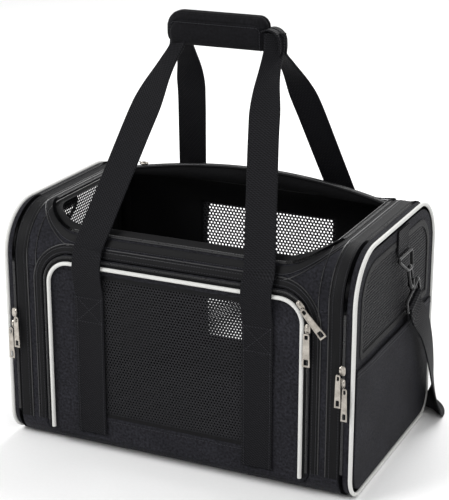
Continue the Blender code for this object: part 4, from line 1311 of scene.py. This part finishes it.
def make_end_door(word, side):
    """An end door: a tray of cloth round its edge, a face with a net window above and a pocket
    below, white piping round the face, and the zip that closes it."""
    size = bpy.context.scene.carrier_sizes
    body = f"{word}_door"
    flip = side < 0
    steps = 14
    low, high = (-WALL_Y, DOOR_BASE_Z), (WALL_Y, HEIGHT)

    def loop(inset):
        """The outline drawn in by inset, with the same number of points whatever the inset."""
        made = rounded((low[0] + inset, low[1] + inset), (high[0] - inset, high[1] - inset),
                       np.array([TOP_R, TOP_R, BOTTOM_R, BOTTOM_R]) - inset, steps)
        full = np.concatenate([made, made[:1]])
        runs = [np.linspace(p, q, n, endpoint=False) for p, q, n in zip(full, full[1:], loop_counts)]
        return np.concatenate(runs)

    base_ring = rounded(low, high, (TOP_R, TOP_R, BOTTOM_R, BOTTOM_R), steps)
    gaps = np.linalg.norm(np.diff(np.concatenate([base_ring, base_ring[:1]]), axis=0), axis=1)
    loop_counts = np.maximum(1, np.ceil(gaps / 0.004)).astype(int)
    stations = ((DOOR_X, 0.0024), (DOOR_X, 0.0003), (DOOR_X + 0.0010, 0.0), (DOOR_X + 0.0045, -0.0002), (DOOR_X + 0.0080, 0.0),
                (END_X - 0.0030, 0.0008), (END_X - 0.0022, 0.0030), (END_X - 0.0004, 0.0042), (END_X - 0.0004, 0.0070))
    rings = np.stack([np.concatenate([np.full((len(loop(i)), 1), side * x), loop(i)], 1) for x, i in stations])
    gusset = patch(rings, wrap_j=True, flip=not flip)

    outline = ((low[0] + 0.0040, low[1] + 0.0040), (high[0] - 0.0040, high[1] - 0.0040),
               (TOP_R - 0.004, TOP_R - 0.004, BOTTOM_R - 0.004, BOTTOM_R - 0.004))
    keys_y = [outline[0][0], outline[1][0], END_WINDOW[0][0], END_WINDOW[1][0]]
    keys_z = [outline[0][1], outline[1][1], END_WINDOW[0][1], END_WINDOW[1][1]]
    edges = [lambda a, b: outside(a, b, outline), lambda a, b: -outside(a, b, END_WINDOW)]
    y, z, keep = cut_cloth(lines(keys_y, 0.0036), lines(keys_z, 0.0036), edges)
    face = np.stack([0 * y + side * (END_X - 0.0004), y, z], -1)
    panel = settle(
        f"{word}_door_cloth", [gusset, patch(face, keep=keep, flip=flip, cloth=np.stack([y, z], -1))], finish("shell"), body,
        [f"{word}_door_panel"],
    )
    thicken(panel, 0.0018)

    on_end = lambda lift: (lambda a, b, more=0.0: np.stack([0 * a + side * (END_X + lift + more), a, b], -1))
    net_place = lambda a, b, lift=0.0: np.stack([0 * a + side * (END_X - 0.0010) + lift * side, a, b], -1)
    net = net_patches(END_WINDOW, size.end_net, 0.0018, 0.0006, net_place)
    if flip:
        net = [(p, f[:, ::-1], c[:, ::-1]) for p, f, c in net]
    settle(f"{word}_door_net", net, finish("net"), body, [f"{word}_door_mesh"], sharp=0)
    binding = hem_round(*END_WINDOW, 0.0010, 0.0080, 0.0007, on_end(0.0000), (side, 0, 0))
    settle(f"{word}_window_binding", binding, finish("tape"), body)

    piping = even(loop(0.0006), 0.0025, closed=True)
    path = np.concatenate([np.full((len(piping), 1), side * (END_X - 0.0005)), piping], 1)
    white = sweep(path, (side, 0, 0), circle(PIPING_R, 16), closed=True)
    settle(f"{word}_door_white_piping", white, finish("piping"), body, [f"{word}_door_piping"])

    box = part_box(f"{word}_door_pocket")
    pocket_low, pocket_high = (box[0].y, box[0].z), (box[1].y, box[1].z)
    r = BOTTOM_R - 0.0075
    outline_pocket = (pocket_low, pocket_high, (0.001, 0.001, r, r))
    y, z, keep = cut_cloth(lines([pocket_low[0], pocket_high[0]], 0.0036), lines([pocket_low[1], pocket_high[1]], 0.0036),
                           [lambda a, b: outside(a, b, outline_pocket)])
    deep = np.minimum.reduce([y - pocket_low[0], pocket_high[0] - y, z - pocket_low[1]])
    loose = ease(deep / 0.045)
    bulge = 0.0016 * loose * (0.6 + 0.5 * np.sin(23 * y + 11 * z) * np.sin(17 * z - 9 * y) + 0.5 * ease((z - 0.10) / 0.06))
    sheet = np.stack([side * (END_X + 0.0005 + bulge), y, z], -1)
    pocket = settle(
        f"{word}_pocket", [patch(sheet, keep=keep, flip=flip, cloth=np.stack([y, z], -1))], finish("shell"), body,
        [f"{word}_door_pocket"],
    )
    thicken(pocket, 0.0010, 1.0)
    hem_y = np.linspace(pocket_low[0] + 0.001, pocket_high[0] - 0.001, 60)
    hem_z = np.full(60, POCKET_TOP - 0.0045)
    deep = np.minimum(hem_y - pocket_low[0], pocket_high[0] - hem_y)
    bulge = 0.0016 * ease(deep / 0.045) * (0.6 + 0.5 * np.sin(23 * hem_y + 11 * hem_z) * np.sin(17 * hem_z - 9 * hem_y) + 0.5)
    hem_path = np.stack([side * (END_X + 0.0014 + bulge), hem_y, hem_z], -1)
    hem = settle(f"{word}_pocket_hem", sweep(hem_path, (side, 0, 0), bar(0.0095, 0.0014)), finish("shell"), body)
    rows = []
    for drop in (0.0018, -0.0025):
        rows += stitches(hem_path + (side * 0.0008, 0, drop), (side, 0, 0))
    settle(f"{word}_pocket_stitches", rows, finish("thread"), body)

    out = 0.0001
    corner = (TOP_R + out, BOTTOM_R + out)
    top_y, top_z, foot_y = WALL_Y - TOP_R, HEIGHT - TOP_R, WALL_Y - BOTTOM_R
    chain = np.concatenate([
        [[foot_y, DOOR_BASE_Z - out]],
        arc((-foot_y, DOOR_BASE_Z + BOTTOM_R), corner[1], 270, 180, 14),
        arc((-top_y, top_z), corner[0], 180, 90, 20),
        arc((top_y, top_z), corner[0], 90, 0, 20),
    ])
    chain = even(chain, 0.003)
    ahead = unit(np.gradient(chain, axis=0))
    normal = np.stack([0 * ahead[:, 0], -ahead[:, 1], ahead[:, 0]], 1)
    path = np.concatenate([np.full((len(chain), 1), side * (DOOR_X + 0.0015)), chain], 1)
    coil = zip_coil(path, normal, size.zip_pitch, 0.0019, 0.0022)
    settle(f"{word}_door_coil", coil, finish("coil"), body, [f"{word}_door_zip"])


def make_end_tapes():
    """On each end of the body: the zip's tape, a raised seam beside it and two rows of stitches."""
    s = np.arange(s_at(-1, 0.030), s_at(1, 0.030), 0.003)
    tapes, seams, rows = [], [], []
    for side in SIDES.values():
        path, up = on_shell(np.full(len(s), side * (BODY_X - 0.0075)), s, 0.0003)
        tapes += sweep(path, up, bar(0.0150, 0.0009))
        for x, r in ((BODY_X - 0.0162, 0.0010), (BODY_X - 0.0285, 0.0007)):
            path, up = on_shell(np.full(len(s), side * x), s, 0.0003)
            seams += sweep(path, up, circle(r, 8))
        for gap in (0.0022, 0.0120):
            path, up = on_shell(np.full(len(s), side * (BODY_X - gap)), s, 0.0008)
            rows += stitches(path, up)
    settle("end_zip_tapes", tapes, finish("tape"), "root")
    inner = []
    for side in SIDES.values():
        ring = end_outline(0.0034)
        path = np.concatenate([np.full((len(ring), 1), side * (BODY_X - 0.0005)), ring], 1)
        inner += sweep(path, unit(path - (side * BODY_X, 0, HEIGHT / 2)), bar(0.0120, 0.0008), closed=True)
    settle("end_inner_tapes", inner, finish("tape"), "root")
    settle("end_seams", seams, finish("coil"), "root")
    settle("end_stitches", rows, finish("thread"), "root")


HOOK_LEAN = math.radians(24)
HOOK_FOOT = (0.2315, 0.0190, 0.2348)  # the foot of the right D-ring, where its hook hangs


def hung(side, x, y, z):
    """A point of the hook's chain: out of the door, across and up from the ring's foot, leaning."""
    c, s = math.cos(HOOK_LEAN), math.sin(HOOK_LEAN)
    x, y, z = np.broadcast_arrays(*(np.asarray(v, float) for v in (x, y, z)))
    z = z - HOOK_FOOT[2]
    return np.stack([side * (HOOK_FOOT[0] + x), HOOK_FOOT[1] + y * c - z * s, HOOK_FOOT[2] + y * s + z * c], -1)


def softened(points, spacing, rounds=6, closed=True):
    """A wire's line with its bends rounded: the points are averaged with their neighbours."""
    line = even(points, spacing, closed)
    for _ in range(rounds):
        near = (np.roll(line, 1, 0) + np.roll(line, -1, 0)) / 4 + line / 2
        if not closed:
            near[0], near[-1] = line[0], line[-1]
        line = near
    return line


def make_fittings(word, side):
    """The tab, D-ring, snap hook, sprung gate and swivel loop that hold the shoulder strap."""
    tab_low, tab_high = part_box(f"{word}_ring_tab")
    tab_x = side * (END_X + 0.0013)
    z = np.linspace(tab_high.z, tab_low.z - 0.0005, 12)
    path = np.stack([np.full(12, tab_x), np.full(12, 0.014), z], 1)
    settle(f"{word}_tab_webbing", sweep(path, (side, 0, 0), selvedge(STRAP_W, WEBBING)), finish("webbing"), f"{word}_door",
           [f"{word}_ring_tab"])
    fold = arc((0.0, 0.0), 0.0029, 250, 20, 12)
    rows = []
    for level in (0.2590, 0.2640):
        path = np.array([[tab_x + side * 0.0011, 0.014 + k * 0.0165, level] for k in (-1, 1)])
        rows += stitches(path, (side, 0, 0))
    settle(f"{word}_tab_stitches", rows, finish("thread"), f"{word}_door")

    top_x, top_z, foot_z, wide, foot = 0.2268, 0.2530, HOOK_FOOT[2], 0.0225, 0.006
    slope = (HOOK_FOOT[0] - top_x) / (top_z - foot_z)
    half = [(wide, top_z - 0.003), (wide, top_z)]
    shape = half + [(-y, z) for y, z in reversed(half)]
    shape += [(0.001 - foot, foot_z + 0.0022), (0.005 - foot, foot_z), (0.005 + foot, foot_z), (0.009 + foot, foot_z + 0.0022)]
    ring = np.array([(side * (top_x + slope * (top_z - z)), 0.014 + y, z) for y, z in shape])
    line = softened(ring, 0.0010, 4)
    settle(f"{word}_d_ring_wire", sweep(line, (side, 0, 0.2), circle(0.0021, 14), closed=True), finish("lacquer"), f"{word}_ring",
           [f"{word}_d_ring"])

    hook_half, low, high = 0.0050, 0.2080 + 0.0050, 0.2385 - 0.0050
    gate_low, gate_high = 0.2155, 0.2290
    bend = np.concatenate([[(hook_half, gate_low - 0.0016)], arc((0, low), hook_half, 0, -180, 14), arc((0, high), hook_half, 180, 20, 16)])
    line = even(bend, 0.0006)
    share = np.linspace(0, 1, len(line))
    radius = 0.0020 + 0.0012 * np.exp(-(((share - 0.25) / 0.16) ** 2)) - 0.0003 * ease((share - 0.9) / 0.1)
    profile = circle(1.0, 14)[None] * np.stack([radius * 0.85, radius * 1.0], 1)[:, None]
    path = hung(side, 0, line[:, 0], line[:, 1])
    hook = sweep(path, (side, 0, 0), profile)
    shank = np.array([0.2076, 0.2088, 0.2098, 0.2110])
    collar = sweep(hung(side, 0, 0 * shank, shank - 0.0006), (side, 0, 0),
                   circle(1.0, 16)[None] * np.array([0.0020, 0.0026, 0.0026, 0.0018])[:, None, None])
    settle(f"{word}_hook_casting", hook + collar, finish("lacquer"), f"{word}_hook", [f"{word}_snap_hook"])

    z = np.linspace(gate_low + 0.0004, gate_high + 0.0010, 12)
    radius = 0.0011 + 0.0003 * np.sin(np.linspace(0, np.pi, 12))
    gate = sweep(hung(side, 0, np.full(12, hook_half), z), (side, 0, 0), circle(1.0, 12)[None] * radius[:, None, None])
    thumb = turned([pebble((0, 0, 0), (0.0030, 0.0020, 0.0046), 2.6, 10, 16)], np.eye(3), hung(side, 0, hook_half + 0.0012, 0.2225))
    settle(f"{word}_gate_lever", gate + thumb, finish("lacquer"), f"{word}_gate", [f"{word}_hook_gate"])

    loop_low, loop_high = 0.1830, 0.2010
    frame_line = rounded((-0.0225, loop_low), (0.0225, loop_high), [0.003] * 4, 6)
    line = even(frame_line, 0.0010, closed=True)
    loop = sweep(hung(side, 0, line[:, 0], line[:, 1]), (side, 0, 0), circle(0.0020, 14), closed=True)
    z = np.array([0.2008, 0.2016, 0.2022, 0.2030, 0.2038, 0.2046, 0.2054, 0.2060])
    radius = np.array([0.0020, 0.0031, 0.0032, 0.0029, 0.0024, 0.0030, 0.0030, 0.0022])
    barrel = sweep(hung(side, 0, 0 * z, z), (side, 0, 0), circle(1.0, 18)[None] * radius[:, None, None])
    settle(f"{word}_swivel_loop", loop + barrel, finish("lacquer"), f"{word}_loop", [f"{word}_strap_loop"])

    tail = np.stack([np.linspace(0.0026, 0.0022, 6), np.linspace(loop_low - 0.018, loop_low - 0.003, 6)], 1)
    profile_line = np.concatenate([tail * (-1, 1), arc((0, loop_low), 0.0029, 180, 0, 16), [(0.0026, loop_low - 0.0042)]])
    path = hung(side, profile_line[:, 0], 0 * profile_line[:, 0], profile_line[:, 1])
    across = np.broadcast_to(hung(side, 0, 1, 0) - hung(side, 0, 0, 0), path.shape)
    fold = sweep(path, (side, 0, 0), selvedge(STRAP_W, WEBBING * 0.9), across=across)
    settle(f"{word}_strap_fold", fold, finish("webbing"), f"{word}_loop")


def pull_shape(half):
    """A zip pull, hanging from its hinge: a plate that widens downwards, with a raised rim round a
    sunk face, a slot at its foot and an eye at its head. Made flat in (x, z), front and back."""
    length, thick, head = 0.0390, 0.0012, 0.72
    outline = ((-half, -length), (half, 0.0006), (0.0023, 0.0023, 0.0006, 0.0006))
    slot = ((0.0016 - half, 0.0020 - length), (half - 0.0016, 0.0090 - length), (0.0008,) * 4)
    eye = ((0.0017 - half, -0.0062), (half - 0.0017, -0.0014), (0.0012,) * 4)
    sunk = ((0.0016 - half, 0.0104 - length), (half - 0.0016, -0.0078), (0.0006,) * 4)
    edges = [lambda a, b: outside(a, b, outline), lambda a, b: -outside(a, b, slot), lambda a, b: -outside(a, b, eye)]
    keys_z = [outline[0][1], outline[1][1], slot[0][1], slot[1][1], eye[0][1], eye[1][1]]
    x, z, keep = cut_cloth(lines([-half, half, slot[0][0], slot[1][0]], 0.00050), lines(keys_z, 0.0006), edges)
    taper = head + (1 - head) * np.clip(-z / length, 0, 1)
    rim = -np.maximum.reduce([outside(x, z, outline), -outside(x, z, slot), -outside(x, z, eye)])
    thickness = thick / 2 * (0.55 + 0.45 * ease(rim / 0.0005)) - 0.00022 * ease(-outside(x, z, sunk) / 0.0004)
    place = np.stack([x, z], -1)
    front = np.stack([x * taper, -thickness, z], -1)
    back = np.stack([x * taper, thickness, z], -1)
    return [patch(front, keep=keep, cloth=place), patch(back, keep=keep, cloth=place, flip=True)]


def make_slider(name, body, at, angle, half, shift=0.0):
    """A zip slider and its pull. The slider is two plates joined by a post, with a bridge over it; at
    is the point of the zip under it, and angle how far the zip turns there."""
    matrix = turn_about_y(angle)
    plate = pebble((0, -0.0037, 0), (0.0070, 0.0016, 0.0115), 3.2)
    crown = pebble((0, -0.0046, 0.0006), (0.0040, 0.0016, 0.0080), 2.8)
    t = np.linspace(0, np.pi, 14)
    arch = np.stack([0 * t + shift * 0.55, -0.0042 - 0.0016 * np.sin(t) ** 0.7, 0.0042 - 0.0084 * (t / np.pi)], 1)
    bridge = sweep(arch, (0, -1, 0), bar(0.0022, 0.0008), across=np.broadcast_to((1.0, 0, 0), arch.shape))
    settle(f"{name}_body", turned([plate, crown] + bridge, matrix, at), finish("nickel"), body + "_slider",
           [f"{name}_zip_slider"])
    hinge = np.array((shift, -0.0072, 0.0010 - 0.0115 / 2))
    made = turned(pull_shape(half), np.eye(3), hinge)
    settle(f"{name}_pull", turned(made, matrix, at), finish("nickel"), body + "_pull", [f"{name}_zip_pull"], sharp=50)


def make_sliders():
    """The sliders of the front door's zip and of both end doors."""
    corner_r = DOOR_RADII[0] - 0.0020
    angle = math.radians(42)
    centre = (DOOR_HALF - DOOR_RADII[0], DOOR_TOP - DOOR_RADII[0])
    at = (centre[0] + corner_r * math.cos(angle), -WALL_Y, centre[1] + corner_r * math.sin(angle))
    make_slider("front_corner", "front_corner", at, -angle, 0.0047)
    make_slider("front_side", "front_side", (DOOR_HALF - 0.0020, -WALL_Y, 0.2070), 0.0, 0.0047)
    for word, side in SIDES.items():
        for level, z, shift in (("lower", 0.1500, 0.0040), ("upper", 0.1650, -0.0040)):
            at = (side * (DOOR_X + 0.0015), -WALL_Y, z)
            make_slider(f"{word}_{level}", f"{word}_{level}", at, 0.0, 0.0037, side * shift)


# The add-on


class CarrierColours(bpy.types.PropertyGroup):
    """Colours that a user may change."""

    # Cloth is the painted highlight on the shell's raised threads, and cloth shadow is the painted shade between them
    cloth: bpy.props.FloatVectorProperty(
        name="Cloth", description="Colour of the shell's raised threads", subtype="COLOR", size=3, min=0, max=1,
        default=linear("#36363d"),
    )
    shadow: bpy.props.FloatVectorProperty(
        name="Cloth shadow", description="Colour between the shell's threads", subtype="COLOR", size=3, min=0, max=1,
        default=linear("#070708"),
    )
    # Webbing is the painted highlight on the webbing's rib crowns
    webbing: bpy.props.FloatVectorProperty(
        name="Webbing", description="Colour of the webbing's ribs", subtype="COLOR", size=3, min=0, max=1,
        default=linear("#1d1d21"),
    )
    piping: bpy.props.FloatVectorProperty(
        name="Piping", description="Colour of the piping", subtype="COLOR", size=3, min=0, max=1, default=linear("#d6d6d3"),
    )


class CarrierSizes(bpy.types.PropertyGroup):
    """Sizes that a user may change."""

    zip_pitch: bpy.props.FloatProperty(
        name="Zip pitch", description="From one tooth of a zip to the next", unit="LENGTH", default=0.0020, min=0.001
    )
    front_net: bpy.props.FloatProperty(
        name="Front net", description="From one hole of the front net to the next", unit="LENGTH", default=0.0038, min=0.002
    )
    rear_net: bpy.props.FloatProperty(
        name="Rear net", description="From one hole of the rear net to the next", unit="LENGTH", default=0.0047, min=0.002
    )
    end_net: bpy.props.FloatProperty(
        name="End nets", description="From one hole of an end net to the next", unit="LENGTH", default=0.0042, min=0.002
    )
    room_light: bpy.props.FloatProperty(
        name="Room light", description="Strength of the studio's even light", default=0.55, min=0
    )


def make_end_doors():
    for word, side in SIDES.items():
        make_end_door(word, side)
    make_end_tapes()


def make_all_fittings():
    for word, side in SIDES.items():
        make_fittings(word, side)


def make_all_handles():
    make_handles()
    make_grip()


class CARRIER_OT_stage(bpy.types.Operator):
    """The camera, the pale floor and the soft lights"""

    bl_idname = "carrier.stage"
    bl_label = "Stage"

    def execute(self, context):
        make_stage()
        return {"FINISHED"}


class CARRIER_OT_strap(bpy.types.Operator):
    """Both halves of the shoulder strap and its adjuster"""

    bl_idname = "carrier.strap"
    bl_label = "Shoulder strap"

    def execute(self, context):
        make_strap()
        return {"FINISHED"}


class CARRIER_OT_shell(bpy.types.Operator):
    """The body's tube of cloth with its openings and rear net"""

    bl_idname = "carrier.shell"
    bl_label = "Body shell"

    def execute(self, context):
        make_shell()
        return {"FINISHED"}


class CARRIER_OT_top_rim(bpy.types.Operator):
    """The zip and binding round the top opening"""

    bl_idname = "carrier.top_rim"
    bl_label = "Top rim"

    def execute(self, context):
        make_top_rim()
        return {"FINISHED"}


class CARRIER_OT_top_flap(bpy.types.Operator):
    """The net flap rolled up behind the top opening"""

    bl_idname = "carrier.top_flap"
    bl_label = "Top flap"

    def execute(self, context):
        make_top_flap()
        return {"FINISHED"}


class CARRIER_OT_front_door(bpy.types.Operator):
    """The front door with its net, piping and zip"""

    bl_idname = "carrier.front_door"
    bl_label = "Front door"

    def execute(self, context):
        make_front_door()
        return {"FINISHED"}


class CARRIER_OT_seams(bpy.types.Operator):
    """The seams beside the front door"""

    bl_idname = "carrier.seams"
    bl_label = "Shoulder seams"

    def execute(self, context):
        make_shoulder_seams()
        return {"FINISHED"}


class CARRIER_OT_end_doors(bpy.types.Operator):
    """Both end doors, and the tapes and seams on the body beside them"""

    bl_idname = "carrier.end_doors"
    bl_label = "End doors"

    def execute(self, context):
        make_end_doors()
        return {"FINISHED"}


class CARRIER_OT_fittings(bpy.types.Operator):
    """The tabs, rings, hooks and swivel loops of the shoulder strap"""

    bl_idname = "carrier.fittings"
    bl_label = "Fittings"

    def execute(self, context):
        make_all_fittings()
        return {"FINISHED"}


class CARRIER_OT_handles(bpy.types.Operator):
    """The webbing handles and their padded wrap"""

    bl_idname = "carrier.handles"
    bl_label = "Handles"

    def execute(self, context):
        make_all_handles()
        return {"FINISHED"}


class CARRIER_OT_sliders(bpy.types.Operator):
    """The zip sliders and their pulls"""

    bl_idname = "carrier.sliders"
    bl_label = "Zip sliders"

    def execute(self, context):
        make_sliders()
        return {"FINISHED"}


class CARRIER_OT_mat(bpy.types.Operator):
    """The base board and the fleece mat"""

    bl_idname = "carrier.mat"
    bl_label = "Mat"

    def execute(self, context):
        make_mat()
        return {"FINISHED"}


OPERATORS = (
    CARRIER_OT_stage,
    CARRIER_OT_strap,
    CARRIER_OT_shell,
    CARRIER_OT_top_rim,
    CARRIER_OT_top_flap,
    CARRIER_OT_front_door,
    CARRIER_OT_seams,
    CARRIER_OT_end_doors,
    CARRIER_OT_fittings,
    CARRIER_OT_handles,
    CARRIER_OT_sliders,
    CARRIER_OT_mat,
)


class CARRIER_PT_sidebar(bpy.types.Panel):
    """The carrier's sizes, colours and pieces"""

    bl_label = "Pet carrier"
    bl_idname = "CARRIER_PT_sidebar"
    bl_space_type = "VIEW_3D"
    bl_region_type = "UI"
    bl_category = "Carrier"

    def draw(self, context):
        for group in (context.scene.carrier_sizes, context.scene.carrier_colours):
            for name in group.__annotations__:
                self.layout.prop(group, name)
        for made in OPERATORS:
            self.layout.operator(made.bl_idname)


CLASSES = (CarrierColours, CarrierSizes, *OPERATORS, CARRIER_PT_sidebar)


def register():
    for made in CLASSES:
        bpy.utils.register_class(made)
    bpy.types.Scene.carrier_colours = bpy.props.PointerProperty(type=CarrierColours)
    bpy.types.Scene.carrier_sizes = bpy.props.PointerProperty(type=CarrierSizes)


def unregister():
    del bpy.types.Scene.carrier_sizes
    del bpy.types.Scene.carrier_colours
    for made in reversed(CLASSES):
        bpy.utils.unregister_class(made)


def main():
    register()
    bpy.ops.carrier.stage()
    bpy.ops.carrier.strap()
    bpy.ops.carrier.shell()
    bpy.ops.carrier.top_rim()
    bpy.ops.carrier.top_flap()
    bpy.ops.carrier.front_door()
    bpy.ops.carrier.seams()
    bpy.ops.carrier.end_doors()
    bpy.ops.carrier.fittings()
    bpy.ops.carrier.handles()
    bpy.ops.carrier.sliders()
    bpy.ops.carrier.mat()


if __name__ == "__main__":
    main()
